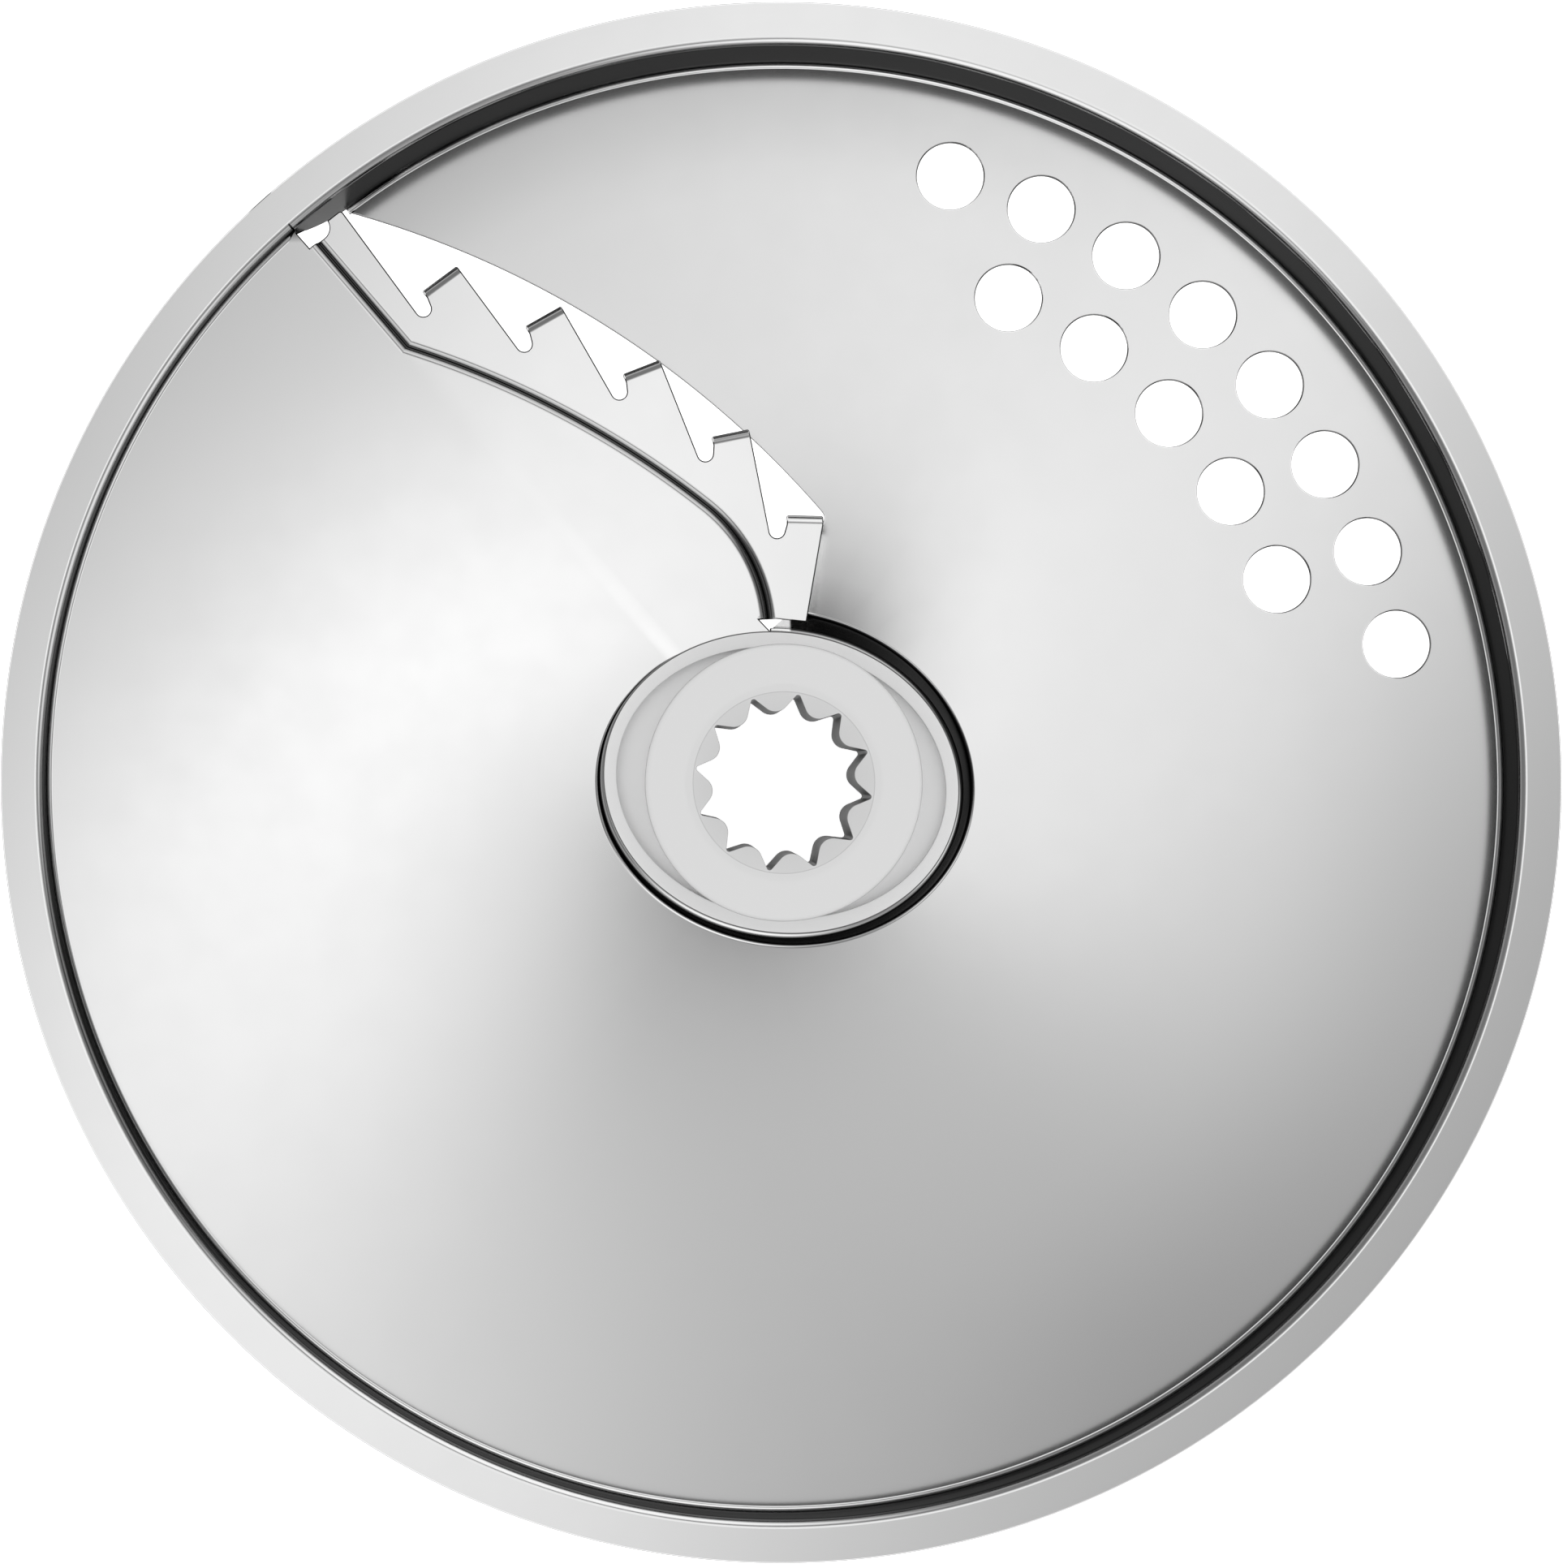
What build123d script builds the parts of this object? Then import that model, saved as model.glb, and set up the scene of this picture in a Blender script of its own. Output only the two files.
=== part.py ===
"""French-fry cutting disc of a food processor.

One stamped stainless sheet carries a flat rim, a ramp that winds once round the hub, thirteen drain holes
and a toothed blade with five down-turned fins. A moulded plastic hub grips the oval seat of the sheet
and takes the drive shaft in a twelve-pointed socket.

Frame: the disc's axis is Z, its upper side faces +Z, and the foot of the hub stands on Z = 0.
Azimuths run anticlockwise from +X, seen from above. Lengths are millimetres, angles are degrees.
"""
import os
from math import acos, asin, atan2, cos, degrees, hypot, radians, sin

from build123d import *

# Sheet: its bends are given by the radius on the inner side of the fold
SHEET = 0.5
CONVEX_INSIDE = 0.12
CONCAVE_INSIDE = 0.42

# Rim
DISC_RADIUS = 67.5
RIM_WIDTH = 3.1
RIM_STEP = 1.1
WALL_ANGLE = 89.5

# Ramp: it starts level at the crease behind the blade and winds down to the slicing gap
FOOT_GAP = 0.4
RAMP_DROP = 8.5
RAMP_START = 131.4
RAMP_TURN = 355.6
RAMP_LEAD_IN = 5.0
RAMP_STATIONS = 14
LEVEL_STATIONS = 6

# Oval seat of the hub
HUB_TURN = -9.5
SEAT_LONG = 15.4
SEAT_SHORT = 12.95
SEAT_RISE = 0.35
SEAT_LIP = 2.2
COLLAR_ANGLE = 80.0
SHORTEST_FLANK = 0.04

# Drain holes: two arcs about the axis, both centred on one azimuth
HOLE_RADIUS = 2.95
HOLES_MIDDLE = 43.4
OUTER_HOLES = 8
OUTER_HOLES_RADIUS = 55.85
OUTER_HOLES_PITCH = 8.79
INNER_HOLES = 5
INNER_HOLES_RADIUS = 47.5
INNER_HOLES_PITCH = 10.6

# Joggle that carries the blade below the ramp's start: a radial run, a short run, a long arc and a hook
JOGGLE_DEPTH = 1.1
JOGGLE_ANGLE = 85.0
JOGGLE_AZIMUTH = 130.6
JOGGLE_ARC_CENTRE = Vector(-57.0, -40.1)
JOGGLE_ARC_RADIUS = 81.85
JOGGLE_ARC_START = 71.5
JOGGLE_ARC_END = 51.8
JOGGLE_HOOK_RADIUS = 14.2
JOGGLE_HOOK_END = 5.0

# Blade: teeth step inwards along a spiral, each with a fin folded down on its outer side
TEETH = 5
TOOTH_PITCH = 7.42
TOOTH_ADVANCE = 5.9
FIRST_FIN_RADIUS = 52.82
FIRST_FIN_AZIMUTH = 126.1
FIN_INSIDE = 0.1
FIN_LENGTH = 3.75
FIN_LENGTH_LOSS = 0.14
FIN_DEPTH = 6.3
SLOT_ROUND = 0.66
SLOT_BACK = 0.83
SLOT_IN = 1.22
BLADE_RIM_GAP = 0.56
BLADE_END_AZIMUTH = 128.9
BLADE_TIP_AZIMUTH = 127.5
BLADE_TIP_ROUND = 0.3
BLADE_HUB_GAP = 1.2
BLADE_TAIL_AZIMUTH = 80.7
BLADE_HEEL_AZIMUTH = 90.0

# Slicing gap: the edge of the low end of the ramp, and the cuts that free the blade's two ends
GAP_ARC_CENTRE = Vector(-61.2, -32.0)
GAP_ARC_RADIUS = 85.85
GAP_INNER_RADIUS = 24.0
GAP_HUB_AZIMUTH = 86.0
GAP_CORNER = 0.8
COLLAR_END = 94.0
COLLAR_SLIT = 1.3
COLLAR_SLIT_START = 0.45
RIM_CUT_WIDTH = 1.56

# Hub: an oval flange on the seat, a round boss above it and an oval body below it
HUB_FLANGE_OVERHANG = 0.05
HUB_FLANGE_HEIGHT = 1.1
HUB_FLANGE_BEVEL = 0.2
HUB_RECESS_END = 1.15
HUB_RECESS_SIDE = 1.35
HUB_RECESS_DEPTH = 0.7
HUB_FIT = 0.1
BOSS_RADIUS = 11.75
BOSS_RISE = 7.6
BOSS_BEVEL = 0.5
HUB_BODY_GAP = 0.3
HUB_FOOT_BEVEL = 0.5

# Drive socket
SOCKET_POINTS = 12
SOCKET_TIP_RADIUS = 7.48
SOCKET_CREST_RADIUS = 6.04
SOCKET_TIP_ROUND = 0.25
SOCKET_LOBE_ROUND = 0.95
SOCKET_LEAD_WIDTH = 0.2
SOCKET_LEAD_DEPTH = 1.0
SHAFT_SEAT_RADIUS = 8.6
SHAFT_SEAT_DEPTH = 2.3

# Values that follow: bend radii on the upper face, and levels of the upper face
CONVEX_BEND = CONVEX_INSIDE + SHEET
CONCAVE_BEND = CONCAVE_INSIDE
FIN_BEND = FIN_INSIDE + SHEET
RAMP_END = RAMP_START + RAMP_TURN
LOW_LEVEL = FOOT_GAP + SHEET
START_LEVEL = LOW_LEVEL + RAMP_DROP
RIM_LEVEL = START_LEVEL + RIM_STEP
SEAT_LEVEL = START_LEVEL + SEAT_RISE
BLADE_LEVEL = START_LEVEL - JOGGLE_DEPTH
BOSS_LEVEL = RIM_LEVEL + BOSS_RISE
RIM_INNER_RADIUS = DISC_RADIUS - RIM_WIDTH
PANEL_RADIUS = RIM_INNER_RADIUS - CONVEX_BEND - CONCAVE_BEND
JOGGLE_OUTER_END = PANEL_RADIUS - RIM_CUT_WIDTH
BLADE_OUTER_END = PANEL_RADIUS - BLADE_RIM_GAP
BEYOND = 3 * DISC_RADIUS


def polar(radius, azimuth):
    """Plan point at a radius and an azimuth."""
    return Vector(radius * cos(radians(azimuth)), radius * sin(radians(azimuth)))


def oval_radius(long, short, azimuth):
    """Radius of the hub's oval at an azimuth, from its two half-axes."""
    turn = radians(azimuth - HUB_TURN)
    return long * short / hypot(short * cos(turn), long * sin(turn))


def seat_oval(outset):
    """Oval face about the axis, larger than the hub's seat by an outset."""
    return Rotation(0, 0, HUB_TURN) * Ellipse(SEAT_LONG + outset, SEAT_SHORT + outset)


def seat_radius(outset, azimuth):
    """Radius of the same oval at an azimuth."""
    return oval_radius(SEAT_LONG + outset, SEAT_SHORT + outset, azimuth)


def prism(face, bottom, top):
    """Upright solid on a plan face between two levels."""
    return Pos(0, 0, bottom) * extrude(face, amount=top - bottom, dir=(0, 0, 1))


def radial_plane(azimuth):
    """Upright plane through the axis, with x as the radius and y as the level."""
    direction = polar(1, azimuth)
    return Plane(origin=(0, 0, 0), x_dir=direction, z_dir=(direction.Y, -direction.X, 0))


def anticlockwise_side(azimuth):
    """Plan half-plane on the anticlockwise side of a radial line."""
    return Rotation(0, 0, azimuth) * Pos(0, BEYOND / 2) * Rectangle(2 * BEYOND, BEYOND)


def flank(fall, radii, steepest):
    """Angle and straight length of an S-bend that falls by a height, with both bend radii added up."""
    low, high = 0.0, radians(steepest)
    straight = (fall - radii * (1 - cos(high))) / sin(high)
    if straight >= SHORTEST_FLANK:
        return high, straight
    for _ in range(50):
        angle = (low + high) / 2
        if radii * (1 - cos(angle)) + SHORTEST_FLANK * sin(angle) < fall:
            low = angle
        else:
            high = angle
    return low, SHORTEST_FLANK


def s_bend(start, fall, convex, concave, steepest, side):
    """Points of a falling S-bend: five along a convex arc, then five along a concave arc."""
    angle, straight = flank(fall, convex + concave, steepest)
    turns = [angle * step / 4 for step in range(5)]
    upper = [(convex * sin(turn), convex * (cos(turn) - 1)) for turn in turns]
    end = upper[-1][0] + straight * cos(angle) + concave * sin(angle)
    lower = [(end - concave * sin(turn), concave * (1 - cos(turn)) - fall) for turn in reversed(turns)]
    return [(start[0] + side * x, start[1] + y) for x, y in upper + lower]


def sheet_bend(start, fall, steepest, side):
    """Upper and lower faces of the sheet along one S-bend."""
    below = (start[0], start[1] - SHEET)
    upper = s_bend(start, fall, CONVEX_BEND, CONCAVE_BEND, steepest, side)
    lower = s_bend(below, fall, CONVEX_BEND - SHEET, CONCAVE_BEND + SHEET, steepest, side)
    return upper, lower


def plan_width(fall, steepest):
    """Width in plan of an S-bend of the sheet."""
    return s_bend((0, 0), fall, CONVEX_BEND, CONCAVE_BEND, steepest, 1)[-1][0]


def joggle_half():
    """Half of the joggle's width in plan."""
    return plan_width(JOGGLE_DEPTH, JOGGLE_ANGLE) / 2


def half_arcs(points):
    """An arc through five points, drawn in two halves."""
    return [ThreePointArc(*points[0:3]), ThreePointArc(*points[2:5])]


def closed_section(upper_runs, lower_runs):
    """Closed outline of a sheet section from the points and S-bends of its upper and its lower face."""
    runs = upper_runs + [run[::-1] for run in reversed(lower_runs)]
    edges = []
    for run, following in zip(runs, runs[1:] + runs[:1]):
        if len(run) > 1:
            edges += half_arcs(run[:5]) + [Line(run[4], run[5])] + half_arcs(run[5:])
        edges.append(Line(run[-1], following[0]))
    return Wire(edges)


def ramp_fall(azimuth):
    """Fall of the ramp below its start: eased in over the lead-in, then even."""
    travel = azimuth - RAMP_START
    slope = RAMP_DROP / (RAMP_TURN - RAMP_LEAD_IN / 2)
    if travel < RAMP_LEAD_IN:
        return slope * max(travel, 0) ** 2 / (2 * RAMP_LEAD_IN)
    return slope * (travel - RAMP_LEAD_IN / 2)


def collar_runs(azimuth):
    """Seat and collar of the hub in a radial section, on the upper and the lower face."""
    inner = seat_radius(-SEAT_LIP, azimuth)
    outer = seat_radius(0, azimuth)
    upper, lower = sheet_bend((outer, SEAT_LEVEL), SEAT_RISE + ramp_fall(azimuth), COLLAR_ANGLE, 1)
    return [[(inner, SEAT_LEVEL)], upper], [[(inner, SEAT_LEVEL - SHEET)], lower]


def ramp_section(azimuth):
    """Whole radial section of the sheet: seat, collar, ramp, wall and rim."""
    collar_upper, collar_lower = collar_runs(azimuth)
    fall = RIM_STEP + ramp_fall(azimuth)
    wall_upper, wall_lower = sheet_bend((RIM_INNER_RADIUS, RIM_LEVEL), fall, WALL_ANGLE, -1)
    upper = collar_upper + [wall_upper[::-1], [(DISC_RADIUS, RIM_LEVEL)]]
    lower = collar_lower + [wall_lower[::-1], [(DISC_RADIUS, RIM_LEVEL - SHEET)]]
    return radial_plane(azimuth) * closed_section(upper, lower)


def ramp():
    """Ramp with its collar and rim, lofted round the axis through radial sections."""
    eased = [RAMP_START + RAMP_LEAD_IN * share for share in (0, 0.5, 1, 1.6, 2.4, 3.4, 4.6, 6)]
    step = (RAMP_END - eased[-1]) / RAMP_STATIONS
    stations = eased + [eased[-1] + step * (index + 1) for index in range(RAMP_STATIONS)]
    return Solid.make_loft([ramp_section(azimuth) for azimuth in stations])


def level_section(azimuth):
    """Radial section of the level sector behind the blade: seat, low collar and flat sheet."""
    upper, lower = collar_runs(azimuth)
    upper.append([(JOGGLE_OUTER_END, START_LEVEL)])
    lower.append([(JOGGLE_OUTER_END, START_LEVEL - SHEET)])
    return radial_plane(azimuth) * closed_section(upper, lower)


def level_sector():
    """Level sheet between the hub and the joggle, from the crease to the end of the collar."""
    step = (RAMP_START - COLLAR_END) / LEVEL_STATIONS
    stations = [COLLAR_END + step * index for index in range(LEVEL_STATIONS + 1)]
    loft = Solid.make_loft([level_section(azimuth) for azimuth in stations])
    return loft - prism(blade_zone(-joggle_half()), 0, BOSS_LEVEL)


def rim_bridge():
    """Rim and wall across the slicing gap, from the ramp's low end to its start."""
    upper, lower = sheet_bend((RIM_INNER_RADIUS, RIM_LEVEL), RIM_LEVEL - LOW_LEVEL, WALL_ANGLE, -1)
    outer_top = (DISC_RADIUS, RIM_LEVEL)
    outer_bottom = (DISC_RADIUS, RIM_LEVEL - SHEET)
    outline = [
        Line(outer_top, upper[0]),
        *half_arcs(upper[:5]),
        Polyline(upper[4], upper[5], lower[5], lower[4]),
        *half_arcs(lower[4::-1]),
        Line(lower[0], outer_bottom),
        Line(outer_bottom, outer_top),
    ]
    face = radial_plane(RAMP_END) * make_face(outline)
    bridge = revolve(face, axis=Axis.Z, revolution_arc=RAMP_START + 360 - RAMP_END)
    slant = slanting_cut(JOGGLE_OUTER_END, RIM_INNER_RADIUS, RAMP_END - 360, RAMP_START, LOW_LEVEL, START_LEVEL)
    return bridge - slant


def collar_slant():
    """Wedge that slants the lower edge of the collar past the blade's inner end."""
    inner = seat_radius(-SEAT_LIP, COLLAR_END)
    low = LOW_LEVEL + RAMP_DROP - ramp_fall(GAP_HUB_AZIMUTH + 360)
    return slanting_cut(inner, GAP_INNER_RADIUS, GAP_HUB_AZIMUTH, COLLAR_END, low, START_LEVEL - SHEET)


def slanting_cut(inner, outer, low_azimuth, high_azimuth, low, high):
    """Wedge that trims an upright wall along a slant, which rises anticlockwise from one level to another."""
    half = inner * sin(radians(high_azimuth - low_azimuth) / 2)
    middle = (low_azimuth + high_azimuth) / 2
    across = polar(1, middle)
    plane = Plane(origin=across * inner, x_dir=polar(1, middle + 90), z_dir=across)
    slant = Polyline((-half, low), (half, high), (3 * half, high), (3 * half, -high), (-half, -high), close=True)
    return extrude(plane * make_face(slant), amount=outer - inner, dir=across)


def gap_corner():
    """Inner end of the gap's arc, where it comes to its inner radius."""
    away = GAP_ARC_CENTRE.length
    cosine = (GAP_INNER_RADIUS ** 2 + away ** 2 - GAP_ARC_RADIUS ** 2) / (2 * GAP_INNER_RADIUS * away)
    bearing = 180 - degrees(asin(GAP_ARC_CENTRE.Y / away))
    return polar(GAP_INNER_RADIUS, bearing - degrees(acos(cosine)))


def gap_face():
    """Plan of the slicing gap that is cut out of the low end of the ramp."""
    foot = plan_width(SEAT_RISE + ramp_fall(GAP_HUB_AZIMUTH + 360), COLLAR_ANGLE)
    hub_end = polar(seat_radius(foot, GAP_HUB_AZIMUTH), GAP_HUB_AZIMUTH)
    corner = gap_corner()
    outside = corner + (corner - hub_end) * (BEYOND / GAP_INNER_RADIUS)
    sector = Polyline((0, 0), hub_end, corner, outside, polar(BEYOND, RAMP_END), close=True)
    arc = Pos(GAP_ARC_CENTRE) * Circle(GAP_ARC_RADIUS)
    collar = seat_oval(foot) - anticlockwise_side(COLLAR_END - COLLAR_SLIT)
    seat = seat_oval(COLLAR_SLIT_START) - anticlockwise_side(COLLAR_END)
    face = (make_face(sector) & arc & Circle(PANEL_RADIUS)) - collar - seat
    return fillet(face.vertices().sort_by_distance(corner)[0], GAP_CORNER)


def joggle_line(offset):
    """Edges of the joggle's line, shifted towards the blade by an offset."""
    run_side = polar(1, JOGGLE_AZIMUTH - 90)
    arc_side = polar(1, JOGGLE_ARC_START)
    outer = polar(JOGGLE_OUTER_END, JOGGLE_AZIMUTH) + run_side * offset
    arc_start = JOGGLE_ARC_CENTRE + polar(JOGGLE_ARC_RADIUS + offset, JOGGLE_ARC_START)
    corner = joggle_corner() + (run_side + arc_side) * (offset / (1 + run_side.dot(arc_side)))
    arc_turn = JOGGLE_ARC_END - JOGGLE_ARC_START
    hook_turn = JOGGLE_HOOK_END - JOGGLE_ARC_END
    return [
        Line(outer, corner),
        Line(corner, arc_start),
        CenterArc(JOGGLE_ARC_CENTRE, JOGGLE_ARC_RADIUS + offset, JOGGLE_ARC_START, arc_turn),
        CenterArc(joggle_hook_centre(), JOGGLE_HOOK_RADIUS + offset, JOGGLE_ARC_END, hook_turn),
    ]


def joggle_corner():
    """Corner between the joggle's radial run and the tangent of its long arc."""
    run = polar(1, JOGGLE_AZIMUTH)
    side = polar(1, JOGGLE_ARC_START)
    reach = JOGGLE_ARC_CENTRE.dot(side) + JOGGLE_ARC_RADIUS
    return run * (reach / run.dot(side))


def joggle_hook_centre():
    """Centre of the hook that leads the joggle to the hub."""
    return JOGGLE_ARC_CENTRE + polar(JOGGLE_ARC_RADIUS - JOGGLE_HOOK_RADIUS, JOGGLE_ARC_END)


def blade_zone(offset):
    """Plan region on the blade's side of the joggle's line."""
    line = joggle_line(offset)
    start = line[0] @ 0
    end = line[-1] @ 1
    around = Polyline(end, polar(BEYOND, BLADE_TAIL_AZIMUTH), polar(BEYOND, BLADE_TIP_AZIMUTH), start)
    return make_face(line + [around])


def joggle_section(origin, towards_blade, onwards):
    """Section of the joggle, upright across its line at a point."""
    upper, lower = sheet_bend((-joggle_half(), 0), JOGGLE_DEPTH, JOGGLE_ANGLE, 1)
    plane = Plane(origin=(origin.X, origin.Y, START_LEVEL), x_dir=towards_blade, z_dir=onwards)
    return plane * Face(closed_section([upper], [lower]))


def joggle_bend(centre, radius, start, end):
    """Part of the joggle that follows an arc, clockwise from one direction to another."""
    section = joggle_section(centre + polar(radius, start), polar(1, start), polar(1, start - 90))
    return revolve(section, axis=Axis(centre, (0, 0, -1)), revolution_arc=start - end)


def joggle():
    """Sheet bent down along the joggle's line, mitred at its corner."""
    corner = joggle_corner()
    inwards = polar(-1, JOGGLE_AZIMUTH)
    onwards = polar(1, JOGGLE_ARC_START - 90)
    mitre = Plane(origin=corner, z_dir=inwards + onwards)
    outer = polar(JOGGLE_OUTER_END, JOGGLE_AZIMUTH)
    arc_start = JOGGLE_ARC_CENTRE + polar(JOGGLE_ARC_RADIUS, JOGGLE_ARC_START)
    first = joggle_section(outer, polar(1, JOGGLE_AZIMUTH - 90), inwards)
    first = extrude(first, amount=(corner - outer).length + joggle_half(), dir=inwards)
    second = joggle_section(arc_start, polar(1, JOGGLE_ARC_START), onwards)
    second = extrude(second, amount=(corner - arc_start).length + joggle_half(), dir=-onwards)
    return [
        split(first, bisect_by=mitre, keep=Keep.BOTTOM),
        split(second, bisect_by=mitre, keep=Keep.TOP),
        joggle_bend(JOGGLE_ARC_CENTRE, JOGGLE_ARC_RADIUS, JOGGLE_ARC_START, JOGGLE_ARC_END),
        joggle_bend(joggle_hook_centre(), JOGGLE_HOOK_RADIUS, JOGGLE_ARC_END, JOGGLE_HOOK_END),
    ]


def fin_places():
    """Radius, azimuth and length of each fin, from the rim inwards along the blade's spiral."""
    places = []
    azimuth = FIRST_FIN_AZIMUTH
    for index in range(TEETH):
        radius = FIRST_FIN_RADIUS - TOOTH_PITCH * index
        places.append((radius, azimuth, FIN_LENGTH - FIN_LENGTH_LOSS * index))
        mean = (radius * (radius - TOOTH_PITCH)) ** 0.5
        azimuth -= 2 * degrees(asin(TOOTH_ADVANCE / (2 * mean)))
    return places


def tangent_turn(centre, point, side):
    """Direction from a round's centre to where a line from a point touches the round."""
    away = point - centre
    return degrees(atan2(away.Y, away.X) + side * acos(SLOT_ROUND / away.length))


def tooth(tip, radius, azimuth, length):
    """Edges of one tooth from its tip: the cutting edge, the round slot beside the fin and the fin's fold."""
    forwards = polar(1, azimuth - 90)
    inwards = polar(-1, azimuth)
    corner = polar(radius, azimuth)
    centre = corner - forwards * SLOT_BACK + inwards * SLOT_IN
    fold = corner + inwards * FIN_BEND
    start = tangent_turn(centre, tip, 1)
    end = tangent_turn(centre, fold, -1)
    around = CenterArc(centre, SLOT_ROUND, start, (end - start) % 360)
    return [Line(tip, around @ 0), around, Line(around @ 1, fold), Line(fold, fold + forwards * length)]


def blade():
    """Flat toothed blade in front of the joggle."""
    rear = joggle_line(joggle_half())
    start = rear[0] @ 0
    end = polar(BLADE_OUTER_END, BLADE_END_AZIMUTH)
    tip = polar(BLADE_OUTER_END, BLADE_TIP_AZIMUTH)
    first_tip = tip
    edges = [TangentArc(start, end, tangent=polar(1, JOGGLE_AZIMUTH - 90)), Line(end, tip)]
    for place in fin_places():
        edges += tooth(tip, *place)
        tip = edges[-1] @ 1
    tail = polar(seat_radius(BLADE_HUB_GAP, BLADE_TAIL_AZIMUTH), BLADE_TAIL_AZIMUTH)
    heel = polar(seat_radius(BLADE_HUB_GAP, BLADE_HEEL_AZIMUTH), BLADE_HEEL_AZIMUTH)
    edges.append(Polyline(tip, tail, heel, rear[-1] @ 1))
    face = make_face(edges + rear)
    face = fillet(face.vertices().sort_by_distance(first_tip)[0], BLADE_TIP_ROUND)
    return prism(face, BLADE_LEVEL - SHEET, BLADE_LEVEL)


def fin(radius, azimuth, length):
    """Fin folded down from the blade, tangent to a circle about the axis."""
    outwards = polar(1, azimuth)
    forwards = polar(1, azimuth - 90)
    top = FIN_BEND * (1 - cos(radians(45)))
    under = FIN_BEND - FIN_INSIDE * cos(radians(45))
    outline = [
        ThreePointArc((-FIN_BEND, 0), (-top, -top), (0, -FIN_BEND)),
        Polyline((0, -FIN_BEND), (0, -FIN_DEPTH), (-SHEET, -FIN_DEPTH), (-SHEET, -FIN_BEND)),
        ThreePointArc((-SHEET, -FIN_BEND), (-under, -under), (-FIN_BEND, -SHEET)),
        Line((-FIN_BEND, -SHEET), (-FIN_BEND, 0)),
    ]
    corner = outwards * radius
    plane = Plane(origin=(corner.X, corner.Y, BLADE_LEVEL), x_dir=outwards, z_dir=forwards)
    return extrude(plane * make_face(outline), amount=length, dir=forwards)


def hole_tools():
    """Round punches of both arcs of drain holes."""
    tools = []
    for count, radius, pitch in (
        (OUTER_HOLES, OUTER_HOLES_RADIUS, OUTER_HOLES_PITCH),
        (INNER_HOLES, INNER_HOLES_RADIUS, INNER_HOLES_PITCH),
    ):
        for index in range(count):
            azimuth = HOLES_MIDDLE + (index - (count - 1) / 2) * pitch
            tools.append(prism(Pos(polar(radius, azimuth)) * Circle(HOLE_RADIUS), 0, BOSS_LEVEL))
    return tools


def steel_disc():
    """The whole stamped sheet."""
    sheet = ramp() - ([prism(gap_face(), 0, BOSS_LEVEL), collar_slant()] + hole_tools())
    front = [blade()] + joggle() + [fin(*place) for place in fin_places()]
    return sheet + ([rim_bridge(), level_sector()] + front)


def socket_face():
    """Star-shaped plan of the drive socket: rounded tips and lobes joined by straight flanks."""
    half_pitch = 180 / SOCKET_POINTS
    tip = polar(SOCKET_TIP_RADIUS - SOCKET_TIP_ROUND, 0)
    lobe = polar(SOCKET_CREST_RADIUS + SOCKET_LOBE_ROUND, half_pitch)
    away = lobe - tip
    lean = degrees(atan2(away.Y, away.X) - acos((SOCKET_TIP_ROUND + SOCKET_LOBE_ROUND) / away.length))
    outer = tip + polar(SOCKET_TIP_ROUND, lean)
    inner = lobe - polar(SOCKET_LOBE_ROUND, lean)
    other_outer = Vector(outer.X, -outer.Y)
    next_inner = Vector(inner.X, -inner.Y).rotate(Axis.Z, 2 * half_pitch)
    next_outer = other_outer.rotate(Axis.Z, 2 * half_pitch)
    one_point = [
        ThreePointArc(other_outer, polar(SOCKET_TIP_RADIUS, 0), outer),
        Line(outer, inner),
        ThreePointArc(inner, polar(SOCKET_CREST_RADIUS, half_pitch), next_inner),
        Line(next_inner, next_outer),
    ]
    turns = [HUB_TURN + 2 * half_pitch * index for index in range(SOCKET_POINTS)]
    return make_face([Rotation(0, 0, turn) * edge for turn in turns for edge in one_point])


def socket_tool():
    """Drive socket with a lead-in at its mouth and a round seat for the shaft's shoulder at the foot."""
    lead_top = SOCKET_TIP_RADIUS + SOCKET_LEAD_WIDTH
    mouth = Cone(SOCKET_CREST_RADIUS, lead_top, SOCKET_LEAD_DEPTH, align=(Align.CENTER, Align.CENTER, Align.MAX))
    star = prism(socket_face(), 0, BOSS_LEVEL)
    return [star, Pos(0, 0, BOSS_LEVEL) * mouth, prism(Circle(SHAFT_SEAT_RADIUS), 0, SHAFT_SEAT_DEPTH)]


def bevelled_prism(face, bottom, top, bevel, edge_level):
    """Upright solid with the edge at one of its two ends bevelled."""
    solid = prism(face, bottom, top)
    edges = [edge for edge in solid.edges() if abs(edge.center().Z - edge_level) < bevel / 2]
    return chamfer(edges, bevel)


def hub():
    """Moulded hub that grips the sheet's seat between its flange and its body."""
    flange_top = SEAT_LEVEL + HUB_FLANGE_HEIGHT
    flange = bevelled_prism(seat_oval(HUB_FLANGE_OVERHANG), SEAT_LEVEL, flange_top, HUB_FLANGE_BEVEL, flange_top)
    recess_long = SEAT_LONG + HUB_FLANGE_OVERHANG - HUB_RECESS_END
    recess_short = SEAT_SHORT + HUB_FLANGE_OVERHANG - HUB_RECESS_SIDE
    recess = Rotation(0, 0, HUB_TURN) * Ellipse(recess_long, recess_short)
    flange -= prism(recess, flange_top - HUB_RECESS_DEPTH, flange_top)
    boss = bevelled_prism(Circle(BOSS_RADIUS), SEAT_LEVEL, BOSS_LEVEL, BOSS_BEVEL, BOSS_LEVEL)
    neck = prism(seat_oval(-SEAT_LIP - HUB_FIT), SEAT_LEVEL - SHEET, SEAT_LEVEL)
    body = bevelled_prism(seat_oval(-HUB_BODY_GAP), 0, SEAT_LEVEL - SHEET, HUB_FOOT_BEVEL, 0)
    return flange + [boss, neck, body] - socket_tool()


os.makedirs("parts", exist_ok=True)
for name, piece in (("steel_disc", steel_disc()), ("hub", hub())):
    print(name, piece.is_valid, len(piece.solids()), round(piece.volume, 2))
    export_step(piece, f"parts/{name}.step")
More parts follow.
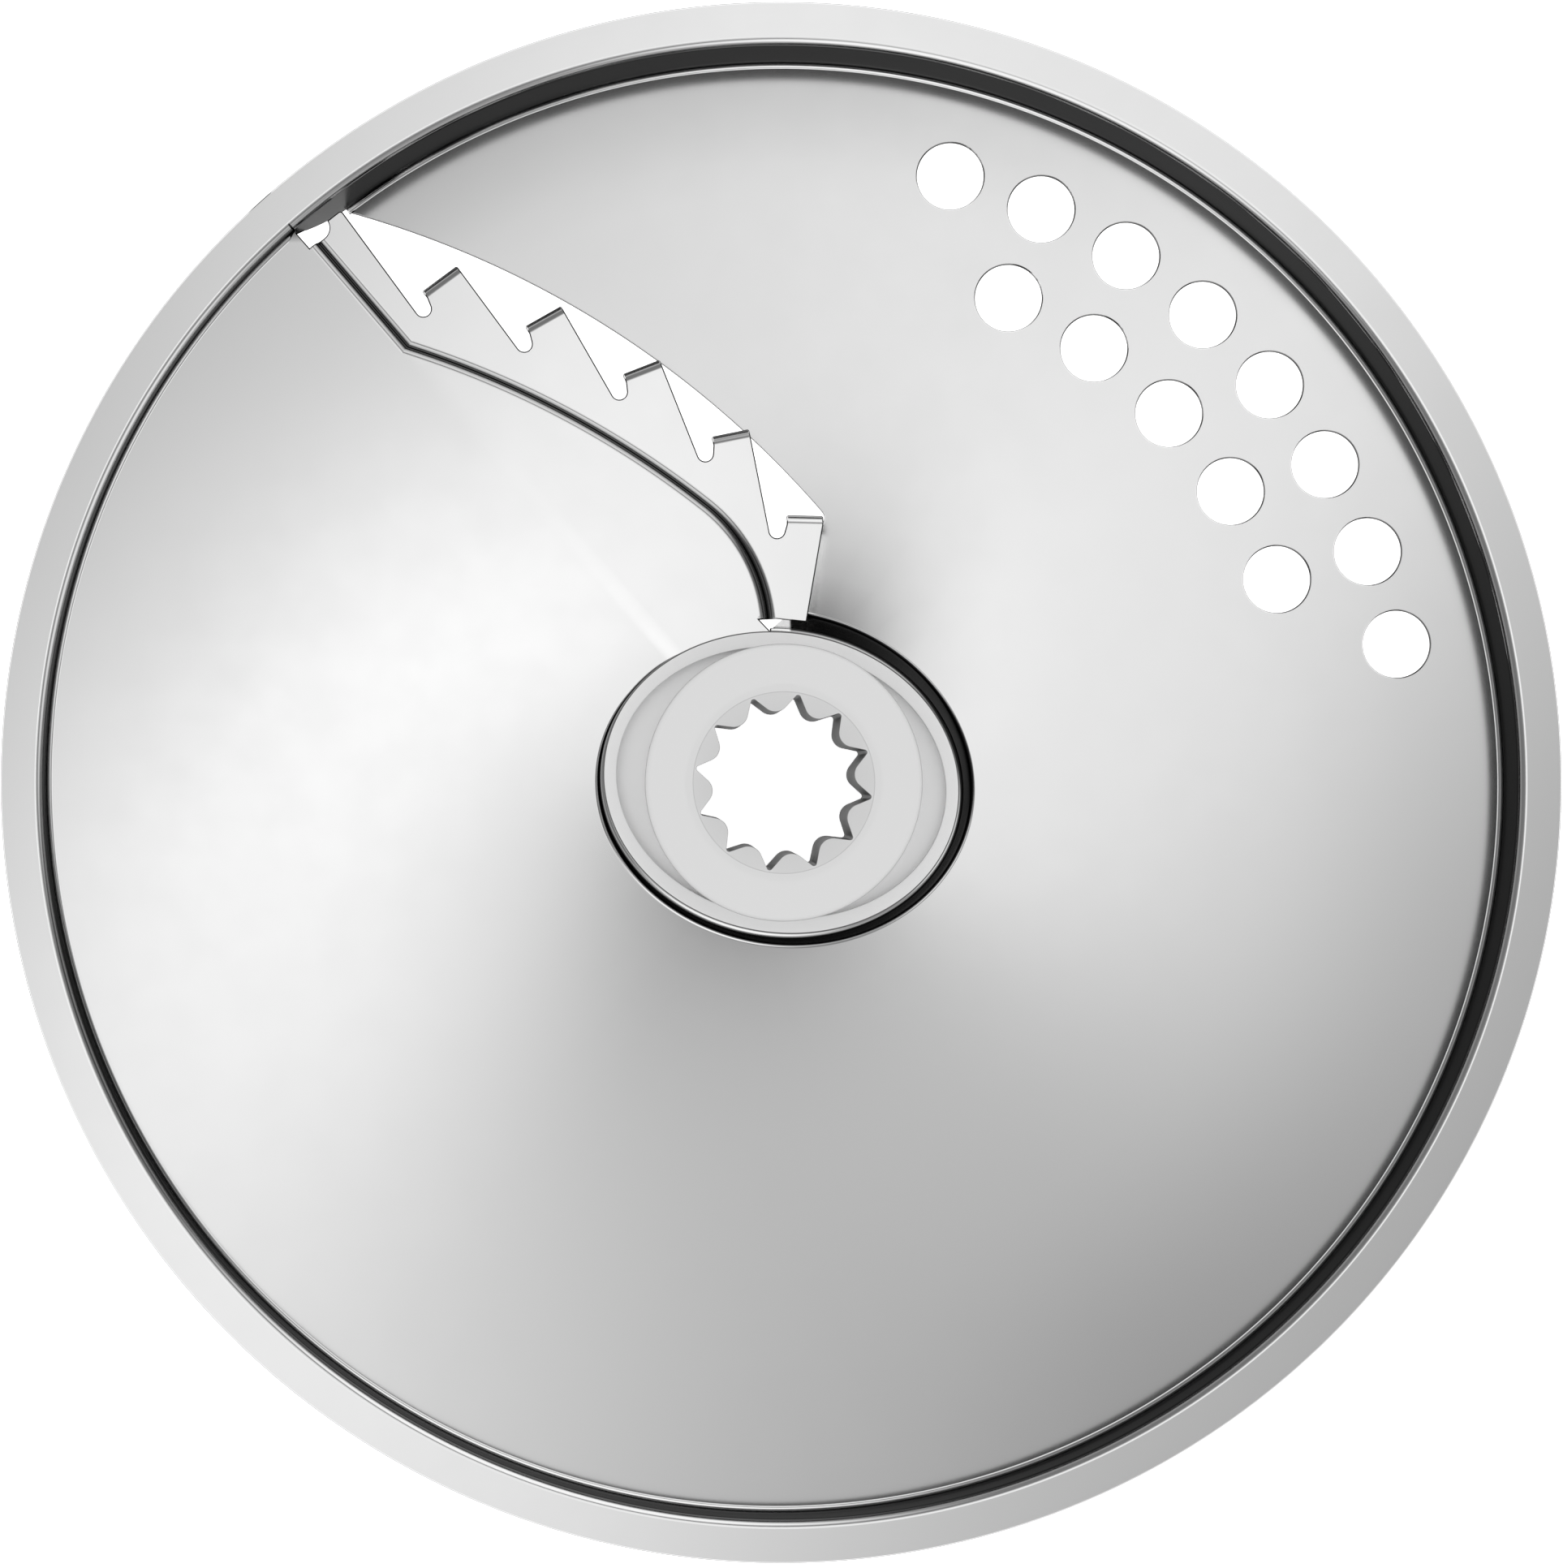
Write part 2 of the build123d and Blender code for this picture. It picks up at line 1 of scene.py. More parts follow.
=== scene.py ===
# %% [markdown]
# A food processor's cutting disc, for sticks of potato. It is one pressed sheet of polished steel with a
# grey plastic hub set into its middle. This lesson loads the engineering model as a fixed frame, then makes
# a finer visual mesh of each piece in the same place, because polished steel shows every flaw of a coarse
# mesh.

# %% Load the frame
from math import acos, asin, atan2, cos, degrees, hypot, pi, radians, sin

import bpy
import numpy as np
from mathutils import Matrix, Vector
from mathutils.geometry import delaunay_2d_cdt
from mathutils.kdtree import KDTree


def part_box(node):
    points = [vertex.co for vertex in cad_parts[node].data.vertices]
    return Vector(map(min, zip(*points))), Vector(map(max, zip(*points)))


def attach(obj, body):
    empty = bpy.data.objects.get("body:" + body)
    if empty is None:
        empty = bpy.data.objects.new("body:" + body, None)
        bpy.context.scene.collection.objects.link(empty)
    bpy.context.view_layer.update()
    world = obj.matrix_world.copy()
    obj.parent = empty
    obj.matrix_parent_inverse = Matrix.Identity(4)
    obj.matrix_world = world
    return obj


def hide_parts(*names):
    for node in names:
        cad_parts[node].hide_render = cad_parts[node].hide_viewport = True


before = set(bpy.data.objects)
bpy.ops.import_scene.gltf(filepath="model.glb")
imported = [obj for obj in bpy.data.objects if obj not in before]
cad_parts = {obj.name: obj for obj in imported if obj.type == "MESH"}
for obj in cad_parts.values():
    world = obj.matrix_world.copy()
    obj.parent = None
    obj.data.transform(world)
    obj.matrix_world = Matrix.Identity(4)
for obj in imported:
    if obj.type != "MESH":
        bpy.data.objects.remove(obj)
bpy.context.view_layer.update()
MM = 0.001

# %% [markdown]
# The sheet is pressed in one go: a flat rim, a wall, a ramp that winds down once round the hub, and a
# collar up to the hub's oval seat. Lengths are millimetres, azimuths are degrees anticlockwise from +X, and
# levels are heights of the upper face. The disc's radius and the level of its rim come from the frame.

# %% Sizes of the sheet
steel_low, steel_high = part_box("steel_disc")
SHEET = 0.5
DISC_RADIUS = (steel_high.x - steel_low.x) / 2 / MM
RIM_LEVEL = steel_high.z / MM
RIM_WIDTH = 2.95
RIM_STEP = 1.1
WALL_ANGLE = 89.5
WALL_CONVEX = 0.77
WALL_CONCAVE = 0.42
RIM_INNER_RADIUS = DISC_RADIUS - RIM_WIDTH
PANEL_RADIUS = RIM_INNER_RADIUS - WALL_CONVEX - WALL_CONCAVE
START_LEVEL = RIM_LEVEL - RIM_STEP
HUB_TURN = -9.5
SEAT_LONG = 15.4
SEAT_SHORT = 12.95
SEAT_RISE = 0.03
SEAT_LIP = 2.2
SEAT_LEVEL = START_LEVEL + SEAT_RISE
print("disc radius", round(DISC_RADIUS, 2), "rim level", round(RIM_LEVEL, 2))

# %% [markdown]
# Nearly every outline of the disc is made of arcs, ovals and points at a radius and an azimuth. A few short
# helpers give such points as numpy arrays, so that a whole edge is one line of code. Curve objects could
# draw the same outlines, but it would be harder to share their points between stretches of the sheet that
# have to meet.

# %% Points in plan
def polar(radius, azimuth):
    """Plan points at radii and azimuths."""
    turn = np.radians(azimuth)
    return np.stack([radius * np.cos(turn), radius * np.sin(turn)], axis=-1)


def arc(centre, radius, start, end, steps):
    """Plan points along an arc from one direction to another."""
    return np.asarray(centre) + polar(radius, np.linspace(start, end, steps + 1))


def bearing(points):
    """Azimuths of plan points, from 0 to 360."""
    return np.degrees(np.arctan2(points[..., 1], points[..., 0])) % 360


def oval_radius(long, short, azimuth):
    """Radius at an azimuth of an oval that is turned like the hub."""
    turn = np.radians(azimuth - HUB_TURN)
    return long * short / np.hypot(short * np.cos(turn), long * np.sin(turn))


def seat_radius(outset, azimuth):
    """Radius at an azimuth of an oval that is larger than the hub's seat by an outset."""
    return oval_radius(SEAT_LONG + outset, SEAT_SHORT + outset, azimuth)


def rounded(before, corner, after, radius, steps=6):
    """Plan points of a rounded corner between two straight runs."""
    back = (before - corner) / np.linalg.norm(before - corner)
    onwards = (after - corner) / np.linalg.norm(after - corner)
    half = acos(np.clip(back @ onwards, -1, 1)) / 2
    middle = (back + onwards) / np.linalg.norm(back + onwards)
    centre = corner + middle * radius / sin(half)
    start = corner + back * radius / np.tan(half) - centre
    turns = np.linspace(0, pi - 2 * half, steps + 1) * np.sign(start[0] * -middle[1] + start[1] * middle[0])
    return np.stack([centre[0] + start[0] * np.cos(turns) - start[1] * np.sin(turns),
                     centre[1] + start[0] * np.sin(turns) + start[1] * np.cos(turns)], axis=-1)


seat_size = [round(2 * float(seat_radius(0, HUB_TURN + turn)), 2) for turn in (0, 90)]
print("seat of the hub:", seat_size, "mm")

# %% [markdown]
# The ramp is a rule: its level falls with the azimuth. It starts at a straight crease that just misses the
# axis, bends down within two millimetres and then falls evenly. Geometry Nodes could bend a grid by this
# rule, but a mirror needs exact normals on both faces of the sheet, so the rule is a function that numpy
# evaluates.

# %% Rule of the ramp
RAMP_DROP = 8.5
RAMP_START = 131.4
RAMP_TURN = 355.6
RAMP_END = RAMP_START + RAMP_TURN
CREASE_AZIMUTH = 130.96
CREASE_OFFSET = 1.06
CREASE_WIDTH = 1.7
PROBE = 0.1


def crease_azimuth(radius):
    """Where the straight crease crosses a radius."""
    return CREASE_AZIMUTH - np.degrees(np.arcsin(CREASE_OFFSET / radius))


def ramp_level(azimuth, radius):
    """Level of the ramp's upper face. Azimuths go on past 360 towards the low end."""
    travel = np.maximum(azimuth - crease_azimuth(radius), 0)
    bend = np.degrees(CREASE_WIDTH / radius)
    slope = RAMP_DROP / (RAMP_TURN - bend / 2)
    return START_LEVEL - slope * np.where(travel < bend, travel ** 2 / (2 * bend), travel - bend / 2)


def ramp_normal(azimuth, radius):
    """Normals of the ramp's upper face, from its slopes round the axis and along the radius."""
    change = ramp_level(azimuth + PROBE, radius) - ramp_level(azimuth - PROBE, radius)
    around = change / (2 * PROBE * pi / 180 * radius)
    along = (ramp_level(azimuth, radius + PROBE) - ramp_level(azimuth, radius - PROBE)) / (2 * PROBE)
    outwards = polar(1.0, azimuth)
    sideways = polar(1.0, azimuth + 90)
    tilt = -outwards * along[..., None] - sideways * around[..., None]
    normal = np.concatenate([tilt, np.ones_like(tilt[..., :1])], axis=-1)
    return normal / np.linalg.norm(normal, axis=-1, keepdims=True)


print("the ramp falls to", round(float(ramp_level(RAMP_END, PANEL_RADIUS)), 2), "mm above the table")

# %% [markdown]
# Every fold of the sheet is the same S-bend: a convex arc, a straight flank and a concave arc. One function
# gives its points, with the turn of the surface at each, and a sweep carries it round the axis as a tidy
# grid. The alternative, a Bevel on a sharp fold, can't change its flank's angle where the ramp comes level
# with the hub.

# %% Folds of the sheet
BEND_STEPS = 10
SHORTEST_FLANK = 0.04
HALVINGS = 40
# Turns of the sheet, in degrees, between which the painted shade of a fold grows
FOLD_SHADE_START = 32
FOLD_SHADE_FULL = 60


def flank_angle(fall, radii, steepest):
    """Turn of an S-bend that falls by a height, in radians, with a flank that never shrinks to nothing."""
    low = np.zeros_like(fall)
    high = np.full_like(fall, radians(steepest))
    for _ in range(HALVINGS):
        middle = (low + high) / 2
        short = radii * (1 - np.cos(middle)) + SHORTEST_FLANK * np.sin(middle) < fall
        low = np.where(short, middle, low)
        high = np.where(short, high, middle)
    return low


def s_bend(fall, steepest, convex, concave):
    """Offsets, drops and turns along an S-bend, as arrays of stations by points."""
    fall = np.asarray(fall, float)
    angle = flank_angle(fall, convex + concave, steepest)
    turn = angle[:, None] * np.linspace(0, 1, BEND_STEPS + 1)
    straight = (fall - (convex + concave) * (1 - np.cos(angle))) / np.sin(angle)
    end = (convex + concave) * np.sin(angle) + straight * np.cos(angle)
    back = turn[:, ::-1]
    offset = np.hstack([convex * np.sin(turn), end[:, None] - concave * np.sin(back)])
    drop = np.hstack([convex * (1 - np.cos(turn)), fall[:, None] - concave * (1 - np.cos(back))])
    return offset, drop, np.hstack([turn, back])


def swept(azimuths, radius, level, turn, side):
    """Points and normals of a section swept round the axis; side is 1 if it falls outwards, -1 if inwards."""
    points = np.concatenate([polar(radius, azimuths[:, None]), level[..., None]], axis=-1)
    around = np.gradient(points, np.radians(azimuths), axis=0)
    along = np.concatenate([polar(side * np.cos(turn), azimuths[:, None]), -np.sin(turn)[..., None]], axis=-1)
    normal = side * np.cross(along, around)
    return points, normal / np.linalg.norm(normal, axis=-1, keepdims=True)


def grid_faces(rows, columns, flip):
    """Corner numbers of the quads between neighbouring rows and columns."""
    corner = np.arange(rows * columns).reshape(rows, columns)
    round_quad = [corner[:-1, :-1], corner[:-1, 1:], corner[1:, 1:], corner[1:, :-1]]
    quads = np.stack(round_quad, axis=-1).reshape(-1, 4)
    return (quads[:, ::-1] if flip else quads).tolist()


patches = []


def add_patch(points, normals, faces, shade=None):
    """Keeps a stretch of the sheet's upper face, with the painted shade of each of its points."""
    points = points.reshape(-1, 3)
    shade = np.zeros(len(points)) if shade is None else shade.reshape(-1)
    patches.append((points, normals.reshape(-1, 3), faces, shade))


def between(value, start, full):
    """Smooth step from 0 at the start to 1 where it is full."""
    share = np.clip((value - start) / (full - start), 0, 1)
    return share * share * (3 - 2 * share)


def crease_shade(turn, start=FOLD_SHADE_START, full=FOLD_SHADE_FULL):
    """Painted shade of a fold's steep part, which sees only the sheet itself, from 0 on the flats to 1 on the
    wall.
    """
    return between(np.degrees(turn), start, full)


print("points across a fold:", 2 * (BEND_STEPS + 1))

# %% [markdown]
# The rim is the flat ring round the disc, and the wall drops from it to the ramp. The wall is low where the
# ramp starts and high where it ends, so its section changes all the way round. A Screw modifier would keep
# one section, which is why a section is worked out here at every degree.

# %% Rim and wall
# Share of a fold's painted shade that the wall and the bridge get
WALL_SHADE = 0.86
STATION_STEP = 1.0
wall_azimuths = np.append(np.arange(RAMP_START, RAMP_END, STATION_STEP), RAMP_END)
wall_fall = RIM_LEVEL - ramp_level(wall_azimuths, PANEL_RADIUS)
wall_offset, wall_drop, wall_turn = s_bend(wall_fall, WALL_ANGLE, WALL_CONVEX, WALL_CONCAVE)


def with_rim(offset, drop, turn):
    """Radii, levels and turns of a wall's section with the flat rim in front of it."""
    edge = np.full((len(offset), 1), DISC_RADIUS)
    flat = np.zeros((len(offset), 1))
    radius = np.hstack([edge, RIM_INNER_RADIUS - offset])
    return radius, RIM_LEVEL - np.hstack([flat, drop]), np.hstack([flat, turn])


wall_radius, wall_level, wall_turn = with_rim(wall_offset, wall_drop, wall_turn)
points, normals = swept(wall_azimuths, wall_radius, wall_level, wall_turn, -1)
wall_foot = points[:, -1]
add_patch(points, normals, grid_faces(*wall_radius.shape, True), WALL_SHADE * crease_shade(wall_turn))
print("wall stations:", len(wall_azimuths), "points each:", wall_radius.shape[1])

# %% Bridge of the rim over the outer end of the blade, with a curved slanting lower edge
BRIDGE_CURVE = 1.8
BRIDGE_STATIONS = 7
bridge_azimuths = np.linspace(RAMP_END, RAMP_START + 360, BRIDGE_STATIONS)
share = ((bridge_azimuths - RAMP_END) / (RAMP_START + 360 - RAMP_END)) ** BRIDGE_CURVE
# The foot of a section's flank comes after the edge of its flat and the points of its upper bend
flank_foot = BEND_STEPS + 2
bridge_bottom = wall_level[-1, flank_foot] + share * (wall_level[0, -1] - wall_level[-1, flank_foot])
bridge_radius = np.repeat(wall_radius[-1:, :flank_foot + 1], len(share), axis=0)
bridge_radius[:, flank_foot] += share * (wall_radius[0, -1] - wall_radius[-1, flank_foot])
bridge_top = np.repeat(wall_level[-1:, :flank_foot], len(share), axis=0)
bridge_level = np.hstack([bridge_top, bridge_bottom[:, None]])
bridge_turn = np.repeat(wall_turn[-1:, :flank_foot + 1], len(share), axis=0)
points, normals = swept(bridge_azimuths, bridge_radius, bridge_level, bridge_turn, -1)
add_patch(points, normals, grid_faces(*bridge_radius.shape, True), WALL_SHADE * crease_shade(bridge_turn))
print("bridge from azimuth", round(RAMP_END - 360, 2), "to", RAMP_START)

# %% [markdown]
# The hub sits on an oval seat in the middle of the disc. From the seat a collar leans down to the ramp. It
# is deep where the ramp is low and shrinks to nothing where the ramp starts, so its bends tighten there.
# Past the slicing gap it ends in a short free tongue.

# %% Seat and collar of the hub
COLLAR_ANGLE = 77.5
COLLAR_CONVEX = 0.55
COLLAR_CONCAVE = 0.38
COLLAR_FULL_BEND = 1.6
COLLAR_TIGHTEST = 0.3
COLLAR_END = 94.0
COLLAR_DEEP = (3.6, 5.6)
# How many degrees earlier the painted shade starts and is full on the deep collar
COLLAR_SHADE_EARLIER = (26, 24)
FOOT_PASSES = 4
GAP_HUB_AZIMUTH = 86.0
collar_azimuths = np.append(np.arange(COLLAR_END, GAP_HUB_AZIMUTH + 360, STATION_STEP), GAP_HUB_AZIMUTH + 360)


def collar_section(azimuths):
    """Radii, levels and turns of the hub's seat and collar."""
    seat = seat_radius(0, azimuths)
    foot = seat + COLLAR_CONVEX + COLLAR_CONCAVE
    for _ in range(FOOT_PASSES):
        fall = SEAT_LEVEL - ramp_level(azimuths, foot)
        size = np.clip(fall / COLLAR_FULL_BEND, COLLAR_TIGHTEST, 1)
        offset, drop, turn = s_bend(fall / size, COLLAR_ANGLE, COLLAR_CONVEX, COLLAR_CONCAVE)
        foot = seat + size * offset[:, -1]
    offset, drop = size[:, None] * offset, size[:, None] * drop
    lip = seat_radius(-SEAT_LIP, azimuths)[:, None]
    flat = np.zeros((len(azimuths), 1))
    radius = np.hstack([lip, seat[:, None] + offset])
    return radius, SEAT_LEVEL - np.hstack([flat, drop]), np.hstack([flat, turn])


collar_radius, collar_level, collar_turn = collar_section(collar_azimuths)
points, normals = swept(collar_azimuths, collar_radius, collar_level, collar_turn, 1)
collar_foot = points[:, -1]
collar_fall = SEAT_LEVEL - collar_level[:, -1:]
deep = np.clip((collar_fall - COLLAR_DEEP[0]) / (COLLAR_DEEP[1] - COLLAR_DEEP[0]), 0, 1)
shade_start = FOLD_SHADE_START - COLLAR_SHADE_EARLIER[0] * deep
shade_full = FOLD_SHADE_FULL - COLLAR_SHADE_EARLIER[1] * deep
collar_shade = crease_shade(collar_turn, shade_start, shade_full)
add_patch(points, normals, grid_faces(*collar_radius.shape, False), collar_shade)
print("collar stations:", len(collar_azimuths))

# %% Free end of the collar beside the gap, then the bare lip across the slit
COLLAR_SLIT = 1.3
COLLAR_SLIT_START = 0.45
# Share of a fold's painted shade on the collar's free end
FREE_END_SHADE = 0.35
FREE_END_STATIONS = 8
free_azimuths = np.linspace(GAP_HUB_AZIMUTH, COLLAR_END - COLLAR_SLIT, FREE_END_STATIONS) + 360
free_radius, free_level, free_turn = (part[:, :flank_foot + 1] for part in collar_section(free_azimuths))
share = (free_azimuths - free_azimuths[0]) / (free_azimuths[-1] - free_azimuths[0])
free_end = free_level[:, flank_foot] + share * (START_LEVEL - SHEET - free_level[:, flank_foot])
free_radius[:, flank_foot] += (free_level[:, flank_foot] - free_end) / np.tan(radians(COLLAR_ANGLE))
free_level[:, flank_foot] = free_end
points, normals = swept(free_azimuths, free_radius, free_level, free_turn, 1)
add_patch(points, normals, grid_faces(*free_radius.shape, False), FREE_END_SHADE * crease_shade(free_turn))
lip_azimuths = np.array([free_azimuths[-1], COLLAR_END + 360])
bent = int(np.sum(free_radius[-1] - seat_radius(0, free_azimuths[-1]) < COLLAR_SLIT_START))
lip_radius, lip_level, lip_turn = (part[:, :bent] for part in collar_section(lip_azimuths))
points, normals = swept(lip_azimuths, lip_radius, lip_level, lip_turn, 1)
add_patch(points, normals, grid_faces(*lip_radius.shape, False), crease_shade(lip_turn))
print("free end of", FREE_END_STATIONS, "stations, bare lip of", bent, "points across")

# %% [markdown]
# Behind the blade the sheet is joggled: it steps down by about twice its own thickness, so that the blade
# cuts below the ramp's start. The step runs straight in from the rim, turns a mitred corner, follows a long
# arc and hooks in to the hub. The same S-bend is carried along that line.

# %% Joggle
JOGGLE_DEPTH = 1.1
JOGGLE_ANGLE = 85.0
JOGGLE_CONVEX = 0.8
JOGGLE_CONCAVE = 0.75
# Share of a fold's painted shade on the joggle, and the turns between which it grows
JOGGLE_SHADE = 0.93
JOGGLE_SHADE_TURNS = (0, 54)
JOGGLE_AZIMUTH = 130.6
JOGGLE_ARC_CENTRE = np.array([-57.0, -40.1])
JOGGLE_ARC_RADIUS = 81.7
JOGGLE_ARC_START = 71.5
JOGGLE_ARC_END = 51.8
JOGGLE_HOOK_RADIUS = 14.2
JOGGLE_HOOK_END = 5.0
JOGGLE_POINTS = 29
RIM_CUT_WIDTH = 1.56
BLADE_LEVEL = START_LEVEL - JOGGLE_DEPTH
JOGGLE_OUTER_END = PANEL_RADIUS - RIM_CUT_WIDTH

joggle_bend = s_bend([JOGGLE_DEPTH], JOGGLE_ANGLE, JOGGLE_CONVEX, JOGGLE_CONCAVE)
joggle_offset, joggle_drop, joggle_turn = (part[0] for part in joggle_bend)
joggle_half = joggle_offset[-1] / 2
run_side = polar(1.0, JOGGLE_AZIMUTH - 90)
arc_side = polar(1.0, JOGGLE_ARC_START)
run_in = polar(1.0, JOGGLE_AZIMUTH)
joggle_outer = polar(JOGGLE_OUTER_END, JOGGLE_AZIMUTH)
joggle_corner = run_in * ((JOGGLE_ARC_CENTRE @ arc_side + JOGGLE_ARC_RADIUS) / (run_in @ arc_side))
mitre = (run_side + arc_side) / (1 + run_side @ arc_side)
arc_turns = np.linspace(JOGGLE_ARC_START, JOGGLE_ARC_END, JOGGLE_POINTS)
hook_turns = np.linspace(JOGGLE_ARC_END, JOGGLE_HOOK_END, JOGGLE_POINTS)[1:]
hook_centre = JOGGLE_ARC_CENTRE + polar(JOGGLE_ARC_RADIUS - JOGGLE_HOOK_RADIUS, JOGGLE_ARC_END)
inner_line = np.vstack([
    joggle_corner,
    JOGGLE_ARC_CENTRE + polar(JOGGLE_ARC_RADIUS, arc_turns),
    hook_centre + polar(JOGGLE_HOOK_RADIUS, hook_turns),
])
inner_side = np.vstack([mitre, polar(1.0, arc_turns), polar(1.0, hook_turns)])


def joggle_strip(line, side, facing):
    """Points and normals of the joggle along a line; it is offset towards side and slopes towards facing."""
    across = (joggle_offset - joggle_half)[None, :, None]
    plan = line[:, None] + side[:, None] * across
    level = np.broadcast_to(START_LEVEL - joggle_drop, plan.shape[:2]).copy()
    level[:, 0] = ramp_level(bearing(plan[:, 0]), np.linalg.norm(plan[:, 0], axis=-1))
    slant = facing[:, None] * np.sin(joggle_turn)[None, :, None]
    rise = np.broadcast_to(np.cos(joggle_turn), level.shape)
    return np.concatenate([plan, level[..., None]], -1), np.concatenate([slant, rise[..., None]], -1)


outer_run = joggle_strip(np.vstack([joggle_outer, joggle_corner]), np.vstack([run_side, mitre]),
                         np.vstack([run_side, run_side]))
inner_run = joggle_strip(inner_line, inner_side, np.vstack([arc_side, inner_side[1:]]))
for points, normals in (outer_run, inner_run):
    shade = np.broadcast_to(JOGGLE_SHADE * crease_shade(joggle_turn, *JOGGLE_SHADE_TURNS), points.shape[:2])
    add_patch(points, normals, grid_faces(*points.shape[:2], True), shade)
joggle_top = np.vstack([outer_run[0][:, 0], inner_run[0][1:, 0]])
joggle_bottom = np.vstack([outer_run[0][:, -1], inner_run[0][1:, -1]])
print("joggle", round(2 * float(joggle_half), 2), "mm wide, ends at", inner_line[-1].round(2))

# %% [markdown]
# Two rows of round holes drain the juice. They repeat round the axis, which is what Geometry Nodes are for:
# this tree sets copies of one outline at even steps round the axis. It serves the holes here and the hub's
# socket below.

# %% A tree that repeats an outline round the axis
def new_tree(name, sockets):
    """Empty Geometry Nodes tree with named inputs; returns it with its input and output nodes."""
    tree = bpy.data.node_groups.new(name, "GeometryNodeTree")
    tree.interface.new_socket("Geometry", in_out="INPUT", socket_type="NodeSocketGeometry")
    for label, kind in sockets:
        tree.interface.new_socket(label, in_out="INPUT", socket_type=kind)
    tree.interface.new_socket("Geometry", in_out="OUTPUT", socket_type="NodeSocketGeometry")
    return tree, tree.nodes.new("NodeGroupInput"), tree.nodes.new("NodeGroupOutput")


def math_node(tree, operation, first, second):
    """Math node fed by two sockets."""
    node = tree.nodes.new("ShaderNodeMath")
    node.operation = operation
    tree.links.new(first, node.inputs[0])
    tree.links.new(second, node.inputs[1])
    return node.outputs[0]


def finish_tree(tree, given, result, geometry):
    """Ends a tree with Realize Instances and Set Material."""
    realize = tree.nodes.new("GeometryNodeRealizeInstances")
    paint = tree.nodes.new("GeometryNodeSetMaterial")
    tree.links.new(geometry, realize.inputs["Geometry"])
    tree.links.new(realize.outputs["Geometry"], paint.inputs["Geometry"])
    tree.links.new(given.outputs["Material"], paint.inputs["Material"])
    tree.links.new(paint.outputs["Geometry"], result.inputs["Geometry"])


def round_the_axis():
    """Tree that repeats its geometry round the axis."""
    sockets = [("Count", "NodeSocketInt"), ("First", "NodeSocketFloat"), ("Pitch", "NodeSocketFloat"),
               ("Material", "NodeSocketMaterial")]
    tree, given, result = new_tree("round_the_axis", sockets)
    seeds = tree.nodes.new("GeometryNodeMeshLine")
    seeds.inputs["Offset"].default_value = (0, 0, 0)
    tree.links.new(given.outputs["Count"], seeds.inputs["Count"])
    index = tree.nodes.new("GeometryNodeInputIndex").outputs[0]
    steps = math_node(tree, "MULTIPLY", index, given.outputs["Pitch"])
    turn = math_node(tree, "ADD", steps, given.outputs["First"])
    about_z = tree.nodes.new("ShaderNodeCombineXYZ")
    tree.links.new(turn, about_z.inputs["Z"])
    copies = tree.nodes.new("GeometryNodeInstanceOnPoints")
    tree.links.new(seeds.outputs["Mesh"], copies.inputs["Points"])
    tree.links.new(given.outputs["Geometry"], copies.inputs["Instance"])
    tree.links.new(about_z.outputs["Vector"], copies.inputs["Rotation"])
    finish_tree(tree, given, result, copies.outputs["Instances"])
    return tree


def grown(name, mesh, tree, values):
    """Mesh that a tree makes from another mesh, with the tree's inputs set by name."""
    carrier = bpy.data.objects.new(name, mesh)
    bpy.context.scene.collection.objects.link(carrier)
    modifier = carrier.modifiers.new(name, "NODES")
    modifier.node_group = tree
    for item in tree.interface.items_tree:
        if item.in_out == "INPUT" and item.name in values:
            modifier[item.identifier] = values[item.name]
    evaluated = carrier.evaluated_get(bpy.context.evaluated_depsgraph_get())
    made = bpy.data.meshes.new_from_object(evaluated)
    bpy.data.objects.remove(carrier)
    return made


def outline_mesh(name, plan):
    """Mesh of one open or closed outline in plan, as edges."""
    mesh = bpy.data.meshes.new(name)
    places = np.column_stack([plan * MM, np.zeros(len(plan))])
    mesh.from_pydata(places.tolist(), [(n, n + 1) for n in range(len(plan) - 1)], [])
    return mesh


def plan_of(mesh):
    """Plan points of a mesh, in millimetres."""
    values = np.zeros(len(mesh.vertices) * 3)
    mesh.vertices.foreach_get("co", values)
    return values.reshape(-1, 3)[:, :2] / MM


axis_tree = round_the_axis()
print("tree inputs:", [item.name for item in axis_tree.interface.items_tree if item.in_out == "INPUT"])

# %% Drain holes
HOLE_RADIUS = 2.95
HOLE_SIDES = 60
HOLES_MIDDLE = 43.4
HOLE_ROWS = {"outer": (8, 55.85, 8.79), "inner": (5, 47.5, 10.6)}

hole_outlines = []
for row, (count, row_radius, pitch) in HOLE_ROWS.items():
    ring = arc((row_radius, 0), HOLE_RADIUS, 0, 360 - 360 / HOLE_SIDES, HOLE_SIDES - 1)
    first = HOLES_MIDDLE - (count - 1) / 2 * pitch
    values = {"Count": count, "First": radians(first), "Pitch": radians(pitch)}
    row_mesh = grown(f"{row}_holes", outline_mesh(f"{row}_hole", ring), axis_tree, values)
    hole_outlines += np.split(plan_of(row_mesh), count)
print("holes:", len(hole_outlines))

# %% [markdown]
# The ramp's panel is flat in plan apart from its holes and edges, so it is drawn as one outline, filled by
# a constrained triangulation and lifted onto the ramp's rule. Its edge points are the last points of the
# collar, wall and joggle, so everything joins without a seam. Its normals come from the rule, so the
# triangles never show.

# %% Painted shade of the panel
# Each zone of painted shade: its depth, the radii between which it grows, and the azimuths between which it
# grows and fades
PANEL_ZONES = {
    "beside_wall": (0.20, (52, 63), (405, 450)),
    "south": (0.14, None, (205, 245), (345, 300)),
    "south_east_edge": (0.12, (42, 62), (275, 305), (395, 345)),
    "north": (0.08, None, (400, 435)),
    "north_west_edge": (0.07, (34, 56), (190, 160)),
}
# Painted shade beside the collar's high side, fading outwards from the hub
BESIDE_COLLAR = 0.34
BESIDE_COLLAR_RADIUS = SEAT_SHORT + 5
BESIDE_COLLAR_FADE = 6
BESIDE_COLLAR_AZIMUTHS = (395, 440)


